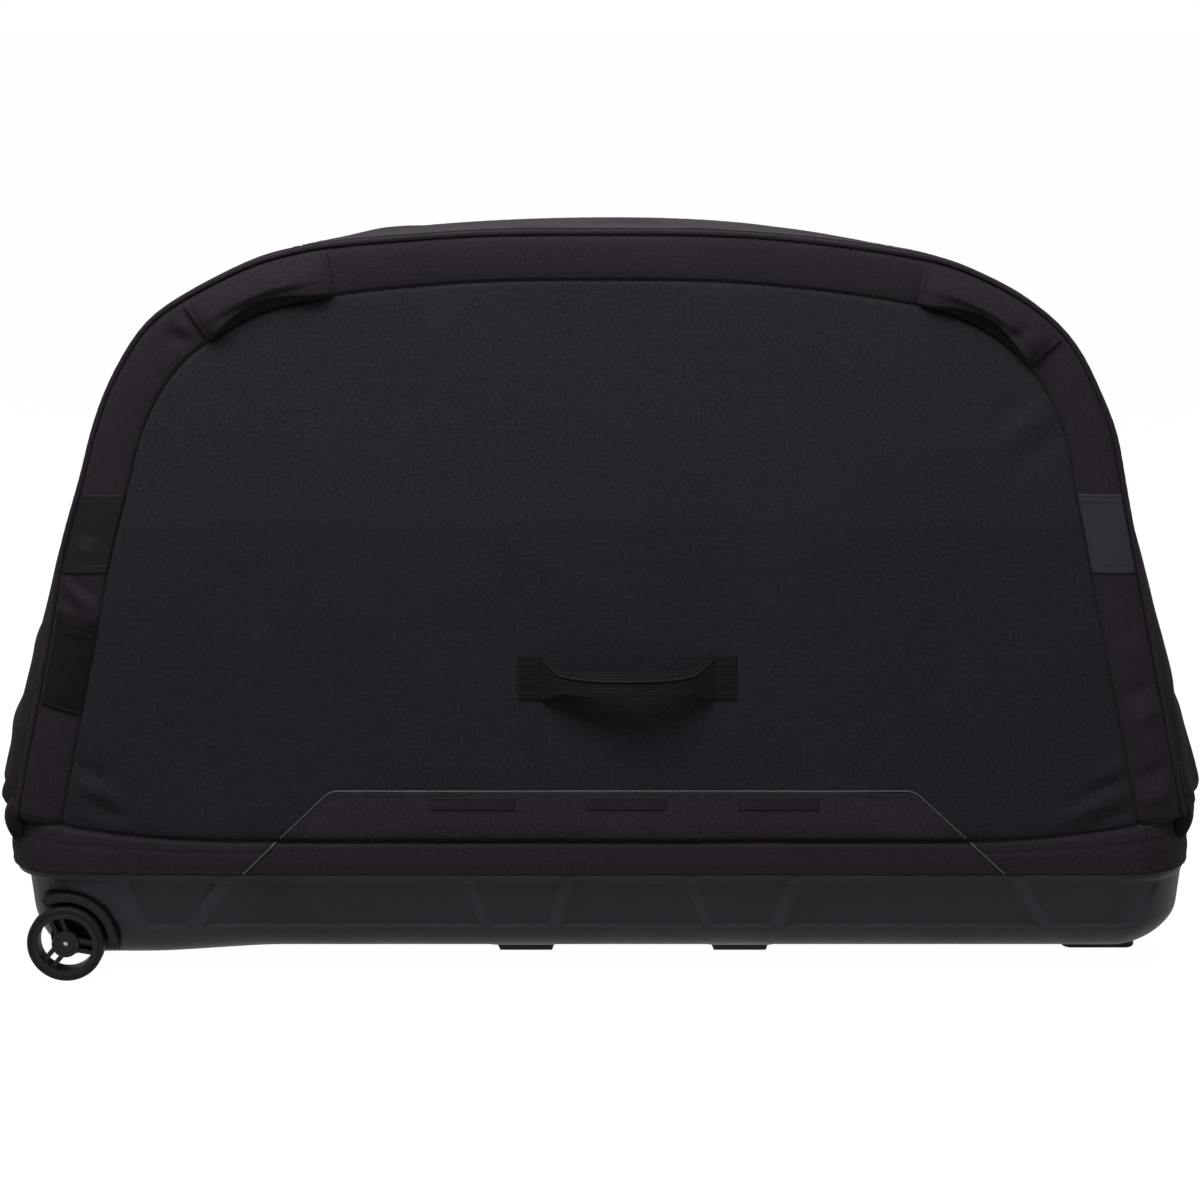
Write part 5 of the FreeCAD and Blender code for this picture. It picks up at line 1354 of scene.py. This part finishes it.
class Strap:
    """Folded webbing of one carry handle."""

    def __init__(self, side, word):
        self.side = side
        self.word = word
        low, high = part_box(f"{word}_carry_patches")
        grip_low, grip_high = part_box(f"{word}_carry_grip")
        self.middle = ((low.x + high.x) / 2, (low.z + high.z) / 2)
        self.near = (high.x - low.x) / 2 - 0.024
        self.grip_end = 0.78 * (grip_high.x - grip_low.x) / 2
        self.root = shape().half_depth + 0.005
        self.rise = GRIP_RISE
        self.radius = (self.near ** 2 + self.rise ** 2) / (2 * self.rise)

    def section(self, v):
        """Closed section as shares of its half thickness and half height, with most rows on the front."""
        turns = (0.0, 0.60, 0.64, 0.70, 0.74, 0.90, 0.93, 0.97, 1.0)
        return (np.interp(v, turns, (1.0, 1.0, 0.7, -0.7, -1.0, -1.0, -0.7, 0.7, 1.0)),
                np.interp(v, turns, (-0.94, 0.94, 1.0, 1.0, 0.94, -0.94, -1.0, -1.0, -0.94)))

    def share(self, lift):
        """Place in the section at which its front reaches a share of its half height."""
        return (lift + 0.94) / 1.88 * 0.60

    def fold_line(self, x):
        """Edge of the folded-over part, from the middle up to the inner corners of the ends."""
        return 0.36 + 0.56 * np.clip(np.abs(x) / self.near, 0, 1) ** 4

    def point(self, x, v):
        """Surface at a distance from the handle's middle: a folded grip that opens out to the flat ends."""
        square, lift = self.section(v)
        far = np.clip((np.abs(x) - GRIP_OPENS) / (self.near - GRIP_OPENS), 0, 1)
        opened = smooth(far * 1.05)
        tall = GRIP_HALF_HEIGHT + (shape().strap_width / 2 - GRIP_HALF_HEIGHT) * opened
        thick = GRIP_HALF_THICKNESS + (STRAP_HALF_THICKNESS - GRIP_HALF_THICKNESS) * opened
        out = np.sqrt(np.maximum(self.radius ** 2 - x ** 2, 0)) - self.radius + self.rise
        line = self.fold_line(x)
        folded = (square > -0.75) * (1 - opened ** 3)
        back = 0.0062 * np.maximum(lift - line, 0) + 0.0013 * np.exp(-((lift - line + 0.09) / 0.045) ** 2)
        back -= 0.0009 * np.exp(-((lift - line - 0.03) / 0.05) ** 2)
        for row in STRAP_ROWS:
            back += 0.0004 * np.exp(-((lift - row) / 0.05) ** 2)
        lean = 0.0012 * (1 - opened) * lift
        z = self.middle[1] + tall * lift - 0.0020 * (1 - far ** 2)
        return self.middle[0] + x, self.side * (self.root + out + thick * square - lean - folded * back), z


class TRAVEL_CASE_OT_carry_handles(bpy.types.Operator):
    """Fold the webbing of the two carry handles and sew their ends"""

    bl_idname = "travel_case.carry_handles"
    bl_label = "Carry handles"

    def execute(self, context):
        for side, word, _, body in FACES:
            strap = Strap(side, word)
            self.grip(strap)
            for sign, end in ENDS:
                self.leg(strap, body, sign, end)
                self.sewn_end(strap, body, sign, end)
        return {"FINISHED"}

    def fold(self, strap, name, x0, x1, columns):
        return cloth(name, columns, 96, lambda u, v: strap.point(x0 + u * (x1 - x0), v),
                     lambda u, v: (x0 + u * (x1 - x0), 0.020 * strap.section(v)[1]), closed=True)

    def bead(self, strap, name, x0, x1, columns):
        """Rolled edge of the fold, a thin cord on the webbing; its lighter finish is a painted highlight."""
        def place(u, v):
            along = x0 + u * (x1 - x0)
            turn = FULL_TURN * v
            x, y, z = strap.point(along, strap.share(strap.fold_line(along)))
            return x, y + strap.side * (0.0004 + BEAD_RADIUS * np.cos(turn)), z + BEAD_RADIUS * np.sin(turn)

        return cloth(name, columns, 8, place, lambda u, v: (x0 + u * (x1 - x0), v * 0.006), closed=True)

    def grip(self, strap):
        word, end = strap.word, strap.grip_end
        dress(self.bead(strap, f"{word}_strap_bead", -end, end, 60), f"{word}_grip", "webbing edge", "webbing")
        grip = self.fold(strap, f"{word}_strap_grip", -end, end, 60)
        dress(grip, f"{word}_grip", "carry webbing", "webbing", f"{word}_carry_grip")

    def leg(self, strap, body, sign, end):
        """Webbing from the grip to its sewn end."""
        word, near, grip_end = strap.word, strap.near, strap.grip_end
        middle_x, middle_z = strap.middle
        y = strap.side * strap.root
        bent = (body, f"{word}_grip", (middle_x + sign * near, y, middle_z),
                (middle_x + sign * grip_end, y, middle_z))
        leg = self.fold(strap, f"{word}_strap_leg_{end}", sign * (grip_end + 0.0002), sign * (near - 0.0004), 24)
        dress(leg, bent, "carry webbing", "webbing", f"{word}_carry_legs")
        edge = self.bead(strap, f"{word}_strap_bead_{end}", sign * (grip_end + 0.0001), sign * (near - 0.001), 30)
        dress(edge, bent, "webbing edge", "webbing")

    def sewn_end(self, strap, body, sign, end):
        middle_x, middle_z = strap.middle
        width = shape().strap_width

        def place(u, v):
            x = middle_x + sign * (strap.near - 0.001 + u * STRAP_END)
            z = middle_z + (v - 0.5) * (width + 0.001)
            soft = 0.0008 * (hill(u) * hill(v)) ** 0.12
            return on_face(x, z, strap.side, 0.0016 + soft)

        tab = cloth(f"{strap.word}_strap_end_{end}", 24, 40, place, lambda u, v: (u * STRAP_END, v * 0.05))
        face_out(tab, strap.side)
        thicken(tab, END_THICKNESS)
        dress(tab, body, "carry webbing", "webbing", f"{strap.word}_carry_patches")


TAPE_THICKNESS = 0.0016
# Teeth of the zip: pitch, size and how far they stand in from the arch
TOOTH_PITCH, TOOTH_SIZE, TOOTH_INSET = 0.0034, (0.0018, 0.0032, 0.0010), 0.0031


class TRAVEL_CASE_OT_zip(bpy.types.Operator):
    """Run the zip's two tapes and its teeth round the arch, with the slider and its pull"""

    bl_idname = "travel_case.zip"
    bl_label = "Zip"

    def execute(self, context):
        arch = outline()
        foot = shape().gusset_foot
        run = 2 * arch.half_length
        for word, body, toward in (("cover", "cover", 1), ("gusset", "case", -1)):
            low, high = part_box(f"zip_tape_{word}")

            def place(u, v, low=low, high=high):
                x, z = settle(*arch.point(u, 0.0034 + 0.0003 * np.sin(u * 500), foot), FRONT)
                return x, low.y + v * (high.y - low.y), z

            piece = cloth(f"zip_tape_{word}_cloth", 420, 6, place,
                          lambda u, v, low=low, high=high: (u * run, v * (high.y - low.y)))
            thicken(piece, TAPE_THICKNESS)
            dress(piece, body, "zip tape", "zip_tape", f"zip_tape_{word}")
            self.teeth(arch, foot, word, body, toward, high.y if toward > 0 else low.y)
        for node, body in (("zip_slider", "slider"), ("zip_pull", "pull")):
            rounded(f"{node}_cast", node, 0.0005, 2, body, "blackened zinc", "zip_metal")
        return {"FINISHED"}

    def teeth(self, arch, foot, word, body, toward, edge_y):
        """One row of teeth along the tape's inner edge."""
        count = int(2 * arch.half_length / TOOTH_PITCH)
        t = (np.arange(count) + (0.25 if toward > 0 else 0.75)) / count
        x, z = settle(*arch.point(t, TOOTH_INSET, foot), FRONT)
        out_x, out_z = arch.out(t)
        level = np.zeros(count)
        deselect()
        bpy.ops.mesh.primitive_cube_add(size=1.0)
        tooth = bpy.context.active_object
        edit(tooth, (bpy.ops.transform.resize, {"value": TOOTH_SIZE}),
             (bpy.ops.mesh.bevel, {"offset": 0.0003, "segments": 1, "affect": "EDGES"}))
        places = np.stack((x, np.full(count, edge_y - toward * 0.0012), z), axis=1)
        piece = repeat(tooth, f"zip_teeth_{word}", places, np.stack((out_z, level, -out_x), axis=1),
                       np.stack((out_x, level, out_z), axis=1))
        dress(piece, body, "zip teeth", "zip_metal")


def repeat(pattern, name, places, along, out):
    """One mesh of many copies of a small shape, each with its X along and its Z out."""
    source = points_of(pattern)
    faces = [tuple(face.vertices) for face in pattern.data.polygons]
    across = np.cross(out, along)
    points = (places[:, None, :] + source[None, :, 0, None] * along[:, None, :]
              + source[None, :, 1, None] * across[:, None, :] + source[None, :, 2, None] * out[:, None, :])
    count = len(source)
    mesh = bpy.data.meshes.new(name)
    copies = [tuple(corner + index * count for corner in face) for index in range(len(places)) for face in faces]
    mesh.from_pydata(points.reshape(-1, 3), [], copies)
    piece = bpy.data.objects.new(name, mesh)
    bpy.context.scene.collection.objects.link(piece)
    bpy.data.objects.remove(pattern)
    activate(piece)
    bpy.ops.object.shade_smooth_by_angle(angle=math.radians(40))
    return piece


def copy_of(node, name):
    """Copy of a frame node with its loose triangles merged."""
    piece = bpy.data.objects.new(name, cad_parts[node].data.copy())
    piece.data.name = name
    bpy.context.scene.collection.objects.link(piece)
    edit(piece, (bpy.ops.mesh.remove_doubles, {"threshold": 1e-5}))
    return piece


HARD_EDGE = math.radians(38)


def rounded(name, node, width, segments, body, finish, slot):
    """Dressed copy of a frame node with its hard edges rounded."""
    piece = copy_of(node, name)
    edit(piece, (bpy.ops.mesh.dissolve_limited, {"angle_limit": math.radians(0.5)}))
    apply(piece, "BEVEL", width=width, segments=segments, limit_method="ANGLE", angle_limit=HARD_EDGE,
          use_clamp_overlap=True)
    activate(piece)
    bpy.ops.object.shade_smooth_by_angle(angle=HARD_EDGE)
    dress(piece, body, finish, slot, node)


# Middles along X of the two skids under the tray, and how far they stand down
SKIDS = (-0.0890, 0.1630)
SKID_DROP = 0.0080
# How far the underside is drawn down towards the wheels, and the right end swept in
BELLY_DROP, END_SWEEP = 0.008, 0.010
# Middle of the wheels in X and Z, and the reach round it that the long walls keep
WHEEL_X, WHEEL_Z, WHEEL_REACH = -0.611, 0.044, 0.075
# Sunk panels of the tray's long walls: depth, bottom and top
PANEL_DEPTH, PANEL_LOW, PANEL_HIGH = 0.0040, 0.0590, 0.1225
# Their ends along X: left and right at the bottom, then at the top
TRAY_PANELS = (
    (-0.520, -0.476, -0.545, -0.432),
    (-0.456, -0.134, -0.415, -0.159),
    (-0.125, -0.058, -0.146, -0.044),
    (-0.046, 0.120, -0.029, 0.095),
    (0.128, 0.195, 0.108, 0.217),
    (0.210, 0.505, 0.232, 0.464),
    (0.520, 0.600, 0.481, 0.630),
)
TRAY_TRIANGLES = 190000


class TRAVEL_CASE_OT_tray(bpy.types.Operator):
    """Mould the tray with soft-edged panels"""

    bl_idname = "travel_case.tray"
    bl_label = "Tray"

    def execute(self, context):
        piece = copy_of("base_tray", "tray_moulding")
        apply(piece, "REMESH", mode="VOXEL", voxel_size=0.0021)
        apply(piece, "SMOOTH", factor=0.5, iterations=5)
        self.belly(piece)
        total = len(piece.data.polygons) * 2
        apply(piece, "DECIMATE", decimate_type="COLLAPSE", ratio=min(1.0, TRAY_TRIANGLES / total))
        self.mark_panels(piece)
        activate(piece)
        bpy.ops.object.shade_smooth()
        dress(piece, "case", "tray plastic", "tray_plastic", "base_tray")
        return {"FINISHED"}

    def belly(self, piece):
        """Draws the underside down towards the wheels and at its skids, sweeps the right end and sinks the panels."""
        x, y, z = points_of(piece).T
        drop = BELLY_DROP * smooth((-0.36 - x) / 0.17) * smooth((0.062 - z) / 0.03)
        for middle in SKIDS:
            skid = smooth((0.042 - np.abs(x - middle)) / 0.010) * smooth((0.155 - np.abs(y)) / 0.02)
            drop += SKID_DROP * skid * smooth((0.030 - z) / 0.012) * (z > 0.0105)
        swept = x - END_SWEEP * smooth((x - 0.56) / 0.08) * smooth((0.075 - z) / 0.05)
        heights = np.arange(0.050, 0.1281, 0.003)
        middle = np.abs(x) < 0.55
        reach = [np.percentile(np.abs(y[middle & (np.abs(z - height) < 0.0012)]), 98.0) for height in heights]
        wall = np.interp(z, heights, reach)
        share = smooth((z - 0.050) / 0.006) * smooth((0.1275 - z) / 0.002) * smooth((0.600 - np.abs(x)) / 0.02)
        share *= smooth((np.hypot(x - WHEEL_X, z - WHEEL_Z) - WHEEL_REACH) / 0.012) * (np.abs(y) > wall - 0.0065)
        sunk = np.sign(y) * (wall - PANEL_DEPTH * self.panels(x, z))
        move_points(piece, np.stack((swept, y + share * (sunk - y), z - drop), axis=1))

    def panels(self, x, z):
        """Share of their depth that the sunk panels of the long walls have at a place, with soft edges."""
        rise = (z - PANEL_LOW) / (PANEL_HIGH - PANEL_LOW)
        depth = np.zeros_like(x)
        for low_left, low_right, top_left, top_right in TRAY_PANELS:
            left = x - (low_left + rise * (top_left - low_left))
            right = low_right + rise * (top_right - low_right) - x
            inside = np.minimum(np.minimum(left, right), np.minimum(z - PANEL_LOW, PANEL_HIGH - z))
            depth = np.maximum(depth, smooth((inside + 0.0025) / 0.0080))
        return depth

    def mark_panels(self, piece):
        """Writes which points lie in a sunk panel, for the finish to paint shade into them."""
        x, y, z = points_of(piece).T
        depth = self.panels(x, z) * smooth((np.abs(y) - 0.110) / 0.015)
        piece.data.attributes.new("sunk", "FLOAT", "POINT").data.foreach_set("value", depth)


class TRAVEL_CASE_OT_wheels(bpy.types.Operator):
    """Round the wheels, their housings and the end foot"""

    bl_idname = "travel_case.wheels"
    bl_label = "Wheels and foot"

    def execute(self, context):
        for _, word, _, _ in FACES:
            wheel = f"{word}_wheel"
            rounded(f"{word}_wheel_tyre", f"{word}_tyre", 0.0010, 3, wheel, "rubber", "tyre_rubber")
            rounded(f"{word}_wheel_rim", f"{word}_rim", 0.0010, 3, wheel, "wheel plastic", "wheel_plastic")
            rounded(f"{word}_wheel_cap", f"{word}_hub_cap", 0.0005, 2, wheel, "wheel plastic", "wheel_plastic")
            rounded(f"{word}_housing", f"wheel_housing_{word}", 0.0012, 3, "case", "housing plastic",
                    "housing_plastic")
        rounded("end_foot_block", "end_foot", 0.0015, 3, "case", "rubber", "foot_rubber")
        return {"FINISHED"}


# Frame nodes that show as they are, with a finish of their own
PLAIN_NODES = {
    "board": ("cover_board", "back_board"),
    "brushed alloy": ("mount_rail",),
    "plated steel": ("wheel_axles", "axle_nuts", "housing_screws", "foot_screws", "rail_screws", "front_bearings",
                     "back_bearings"),
    "rod sleeve": ("stay_rod_front", "stay_rod_back"),
}
# Distance of the floor pads' inner edges from the middle
PAD_INNER = 0.032


class TRAVEL_CASE_OT_inside(bpy.types.Operator):
    """Finish the boards, rods, rail, mounts and fasteners inside the case"""

    bl_idname = "travel_case.inside"
    bl_label = "Inside"

    def execute(self, context):
        for finish, nodes in PLAIN_NODES.items():
            for node in nodes:
                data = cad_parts[node].data
                data.materials.clear()
                data.materials.append(finish_called(finish))
        rounded("socket_blocks", "rod_sockets", 0.0010, 2, "case", "mount plastic", "mount_plastic")
        for word in ("fork", "rear"):
            rounded(f"{word}_mount_casting", f"{word}_mount", 0.0012, 2, f"{word}_carriage", "mount plastic",
                    "mount_plastic")
            rounded(f"{word}_knob_moulding", f"{word}_knob", 0.0010, 2, f"{word}_clamp", "knob plastic",
                    "knob_plastic")
        self.pads()
        return {"FINISHED"}

    def pads(self):
        low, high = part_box("floor_pads")
        for side, word, _, _ in FACES:
            def place(u, v, side=side):
                turn = FULL_TURN * v
                square = np.sign(np.cos(turn)) * np.abs(np.cos(turn)) ** 0.2
                lift = np.sign(np.sin(turn)) * np.abs(np.sin(turn)) ** 0.35
                ends = np.clip(1 - np.abs(2 * u - 1) ** 60, 0, 1) ** 0.5
                y = (PAD_INNER + high.y) / 2 + (high.y - PAD_INNER) / 2 * square * (0.93 + 0.07 * ends)
                x = low.x + u * (high.x - low.x)
                z = low.z + (high.z - low.z) * (0.5 + 0.5 * lift * (0.85 + 0.15 * ends))
                return x, side * y, z + 0.0004 * unevenness(x, y, 0.08, 0.4) * (lift > 0)

            piece = cloth(f"floor_pad_{word}", 140, 32, place, lambda u, v: (u, v * 0.15), closed=True)
            dress(piece, "case", "closed-cell foam", "foam", "floor_pads")


# Thread of a stitch: share of the pitch that it fills, half width and half height
STITCH_FILL, STITCH_HALF_WIDTH, STITCH_HALF_HEIGHT = 0.40, 0.00050, 0.00040
# How far stitches stand over the skirt and the gusset, and a seam's rows from its middle
STITCH_LIFT = 0.0004
ROW_OFFSET = 0.005


class TRAVEL_CASE_OT_stitching(bpy.types.Operator):
    """Sew the visible rows of stitches on the faces, the skirt, the gusset and the handles"""

    bl_idname = "travel_case.stitching"
    bl_label = "Stitching"

    def execute(self, context):
        for side, word, skin, body in FACES:
            out = (0.0, side, 0.0)
            self.sew(f"{skin}_stitches", body, [(np.stack(on_face(x, z, side, over), axis=1), out)
                                                for x, z, over in self.face_rows(side, word)])
            strap = Strap(side, word)
            x = np.linspace(-strap.grip_end, strap.grip_end, 60)
            self.sew(f"{skin}_stitches_grip", f"{word}_grip", [
                (np.stack(strap.point(x, np.full_like(x, strap.share(row))), axis=1), out) for row in STRAP_ROWS])
        self.sew("skirt_stitches", "case", self.skirt_rows() + self.gusset_rows())
        return {"FINISHED"}

    def face_rows(self, side, word):
        """Rows on one face as X, Z and the height over the cloth."""
        arch = outline()
        _, seam = border_edges()
        share = np.linspace(0.0, 1.0, 400)
        rows = [(*arch.point(0.012 + 0.976 * share, seam - 0.0045, shape().crease_height + 0.02), 0.0003)]
        low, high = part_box("edge_patches")
        for sign, _ in ENDS:
            for z in (low.z + 0.003, low.z + 0.0085, high.z - 0.0085, high.z - 0.003):
                inset = 0.009 + share * (seam - 0.011)
                rows.append((sign * arch.side_x(inset, z), np.full_like(share, z), 0.0014))
        for _, face, sign, first, last, _, _ in GRABS:
            if face == side:
                for angle in (first + 0.7, first + 2.0, last - 2.0, last - 0.7):
                    x, z = round_shoulder(np.full_like(share, math.radians(angle)), 0.010 + 0.040 * share)
                    rows.append((sign * x, z, 0.0040))
        low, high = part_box(f"{word}_carry_patches")
        for first in (low.x + 0.0015, high.x - 0.0215):
            rows += self.frame_rows(first, first + 0.020, low.z + 0.0085, high.z - 0.0085, 0.0024)
        if side == FRONT:
            rows += self.pocket_rows(share, arch)
        return rows

    def pocket_rows(self, share, arch):
        rows = []
        low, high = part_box("pocket_tabs")
        for first, last in POCKET_TABS:
            rows += self.frame_rows(first + 0.002, last - 0.002, low.z + 0.002, high.z - 0.002, 0.0040)
        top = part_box("gear_pocket")[1].z
        for foot_x, head_x in ((-0.352, -0.301), (0.403, 0.350)):
            rows.append((foot_x + share * (head_x - foot_x), 0.172 + share * (top - 0.177), 0.0016))
        rows.append((-0.301 + share * 0.651, np.full_like(share, top - 0.005), 0.0024))
        for z in (0.4165, 0.3290):
            x = -arch.side_x(0.011 + share * 0.043, z)
            rows.append((x, z - share * LABEL_FALL, 0.0024))
        return rows

    def frame_rows(self, x0, x1, z0, z1, over):
        """Four sides of a sewn rectangle."""
        share = np.linspace(0.0, 1.0, 40)
        ends = ((x0, z0, x1, z0), (x1, z0, x1, z1), (x1, z1, x0, z1), (x0, z1, x0, z0))
        return [(a + share * (c - a), b + share * (d - b), over) for a, b, c, d in ends]

    def skirt_rows(self):
        u = np.linspace(0.0, 1.0, 3000)
        rows = []
        for v in (0.08, SKIRT_ROW):
            x, y, z, out_x, out_y = skirt_point(u, np.full_like(u, v))
            out = np.stack((out_x, out_y, np.zeros_like(u)), axis=1)
            rows.append((np.stack((x, y, z), axis=1) + out * STITCH_LIFT, out))
        return rows

    def gusset_rows(self):
        v = np.linspace(0.03, 0.97, 200)
        rows = []
        for x in (-GUSSET_SEAM - ROW_OFFSET, -GUSSET_SEAM + ROW_OFFSET, GUSSET_SEAM - ROW_OFFSET,
                  GUSSET_SEAM + ROW_OFFSET):
            held = np.full_like(v, gusset_share(x))
            out_x, out_z = outline().out(held)
            out = np.stack((out_x, np.zeros_like(v), out_z), axis=1)
            rows.append((np.stack(gusset_point(held, v), axis=1) + out * STITCH_LIFT, out))
        return rows

    def sew(self, name, body, rows):
        """One mesh of stitches along rows of points, each row with its outward direction."""
        pitch = shape().stitch_pitch
        places, alongs, outs = [], [], []
        for points, out in rows:
            steps = np.linalg.norm(np.diff(points, axis=0), axis=1)
            run = np.concatenate(((0.0,), np.cumsum(steps)))
            spots = np.arange(pitch / 2, run[-1], pitch)
            ahead = [np.stack([np.interp(spots + shift, run, points[:, axis]) for axis in range(3)], axis=1)
                     for shift in (-0.001, 0.0, 0.001)]
            along = ahead[2] - ahead[0]
            out = np.broadcast_to(np.asarray(out, float), points.shape)
            out = np.stack([np.interp(spots, run, out[:, axis]) for axis in range(3)], axis=1)
            places.append(ahead[1])
            alongs.append(along / np.linalg.norm(along, axis=1, keepdims=True))
            outs.append(out)
        deselect()
        bpy.ops.mesh.primitive_uv_sphere_add(segments=6, ring_count=4, radius=1.0, rotation=(0, math.pi / 2, 0))
        bpy.ops.object.transform_apply(location=True, rotation=True, scale=True)
        loop = bpy.context.active_object
        size = (pitch * STITCH_FILL, STITCH_HALF_WIDTH, STITCH_HALF_HEIGHT)
        edit(loop, (bpy.ops.transform.resize, {"value": size}))
        piece = repeat(loop, name, np.concatenate(places), np.concatenate(alongs), np.concatenate(outs))
        dress(piece, body, "sewing thread", "piping_cord")


# Floor: radius, depth under the wheels, grey of its own, glow and how much of it the camera sees
FLOOR_RADIUS, FLOOR_DROP = 120.0, 0.0006
FLOOR_GREY, FLOOR_GLOW, FLOOR_GLOW_SHARE = 0.30, 1.20, 0.82
SENSOR_WIDTH = 36.0
# Share of the sky's light that comes from the two ends
END_SKY = 0.2
# Lamps: name, place, size and share of the key light's power
LAMPS = (
    ("key", (-0.5, -1.30, 2.5), (2.0, 1.0), 1.0),
    ("fill", (2.6, -2.4, 1.6), (1.6, 1.6), 0.18),
    ("rim", (0.2, 1.8, 2.6), (2.6, 0.9), 1.10),
)
LAMP_AIM = Vector((0, 0, 0.4))


class TRAVEL_CASE_OT_stage(bpy.types.Operator):
    """Set the floor, the light and the camera"""

    bl_idname = "travel_case.stage"
    bl_label = "Stage"

    def execute(self, context):
        scene = context.scene
        stage = scene.case_stage
        scene.view_settings.view_transform = "Standard"
        self.floor()
        self.sky(scene, stage)
        self.lamps(stage)
        data = bpy.data.cameras.new("camera")
        data.lens = stage.lens
        data.sensor_width = SENSOR_WIDTH
        data.clip_end = 100.0
        camera = bpy.data.objects.new("camera", data)
        camera.location = (0.0, -stage.camera_distance, stage.camera_height)
        camera.rotation_euler = (math.pi / 2 - stage.camera_pitch, 0.0, 0.0)
        scene.collection.objects.link(camera)
        scene.camera = camera
        return {"FINISHED"}

    def floor(self):
        deselect()
        bpy.ops.mesh.primitive_circle_add(vertices=96, radius=FLOOR_RADIUS, fill_type="NGON",
                                          location=(0, 0, -FLOOR_DROP))
        floor = bpy.context.active_object
        floor.name = "floor"
        bpy.ops.object.transform_apply(location=True, rotation=True, scale=True)
        finish = bpy.data.materials.new("pale floor")
        finish.use_nodes = True
        tree = finish.node_tree
        tree.nodes.clear()
        net = Net(tree)
        plain = net.add("ShaderNodeBsdfDiffuse", {"Color": (FLOOR_GREY, FLOOR_GREY, FLOOR_GREY, 1.0)}).outputs[0]
        bright = net.add("ShaderNodeEmission", {"Strength": FLOOR_GLOW}).outputs[0]
        seen = net.add("ShaderNodeLightPath").outputs
        shown = net.maths("MAXIMUM", seen["Is Camera Ray"], seen["Is Glossy Ray"])
        shown = net.maths("MAXIMUM", shown, seen["Is Transmission Ray"])
        share = net.maths("MULTIPLY", shown, FLOOR_GLOW_SHARE)
        mixed = net.add("ShaderNodeMixShader", {0: share, 1: plain, 2: bright}).outputs[0]
        net.add("ShaderNodeOutputMaterial", {"Surface": mixed})
        floor.data.materials.append(finish)

    def sky(self, scene, stage):
        world = bpy.data.worlds.new("studio")
        scene.world = world
        world.use_nodes = True
        world.node_tree.nodes.clear()
        net = Net(world.node_tree)
        seen = net.add("ShaderNodeLightPath").outputs
        across = net.add("ShaderNodeSeparateXYZ", {0: net.add("ShaderNodeTexCoord").outputs["Generated"]}).outputs[0]
        ends = net.fade(net.maths("MULTIPLY", across, across), 0.0, 1.0, stage.sky, stage.sky * END_SKY)
        mirrored = net.maths("MAXIMUM", seen["Is Glossy Ray"], seen["Is Transmission Ray"])
        lit = net.maths("MULTIPLY", ends, net.fade(mirrored, 0.0, 1.0, 1.0, 1 / stage.sky))
        strength = net.maths("MAXIMUM", lit, seen["Is Camera Ray"])
        light = net.add("ShaderNodeBackground", {"Color": (1.0, 1.0, 1.0, 1.0), "Strength": strength}).outputs[0]
        net.add("ShaderNodeOutputWorld", {"Surface": light})

    def lamps(self, stage):
        for name, place, size, share in LAMPS:
            data = bpy.data.lights.new(name, "AREA")
            data.shape = "RECTANGLE"
            data.size, data.size_y = size
            data.energy = stage.key * share
            lamp = bpy.data.objects.new(name, data)
            lamp.location = place
            lamp.rotation_euler = (LAMP_AIM - Vector(place)).to_track_quat("-Z", "Y").to_euler()
            bpy.context.scene.collection.objects.link(lamp)


STEPS = (
    TRAVEL_CASE_OT_faces,
    TRAVEL_CASE_OT_gusset,
    TRAVEL_CASE_OT_skirt,
    TRAVEL_CASE_OT_gear_pocket,
    TRAVEL_CASE_OT_grab_handles,
    TRAVEL_CASE_OT_border_trim,
    TRAVEL_CASE_OT_carry_handles,
    TRAVEL_CASE_OT_zip,
    TRAVEL_CASE_OT_tray,
    TRAVEL_CASE_OT_wheels,
    TRAVEL_CASE_OT_inside,
    TRAVEL_CASE_OT_stitching,
    TRAVEL_CASE_OT_stage,
)


class TRAVEL_CASE_PT_pieces(bpy.types.Panel):
    """Lists the sizes, the colours and the steps that make the case"""

    bl_label = "Bike travel case"
    bl_space_type = "VIEW_3D"
    bl_region_type = "UI"
    bl_category = "Travel case"

    def draw(self, context):
        for group in (context.scene.case_shape, context.scene.case_finish, context.scene.case_stage):
            column = self.layout.column(align=True)
            for key in group.__annotations__:
                column.prop(group, key)
        for step in STEPS:
            self.layout.operator(step.bl_idname)


GROUPS = (("case_shape", CaseShape), ("case_finish", CaseFinish), ("case_stage", CaseStage))


def register():
    for name, group in GROUPS:
        bpy.utils.register_class(group)
        setattr(bpy.types.Scene, name, bpy.props.PointerProperty(type=group))
    for kind in STEPS + (TRAVEL_CASE_PT_pieces,):
        bpy.utils.register_class(kind)


def unregister():
    for kind in reversed(STEPS + (TRAVEL_CASE_PT_pieces,)):
        bpy.utils.unregister_class(kind)
    for name, group in reversed(GROUPS):
        delattr(bpy.types.Scene, name)
        bpy.utils.unregister_class(group)


def main():
    register()
    for step in STEPS:
        area, name = step.bl_idname.split(".")
        getattr(getattr(bpy.ops, area), name)()


if __name__ == "__main__":
    main()
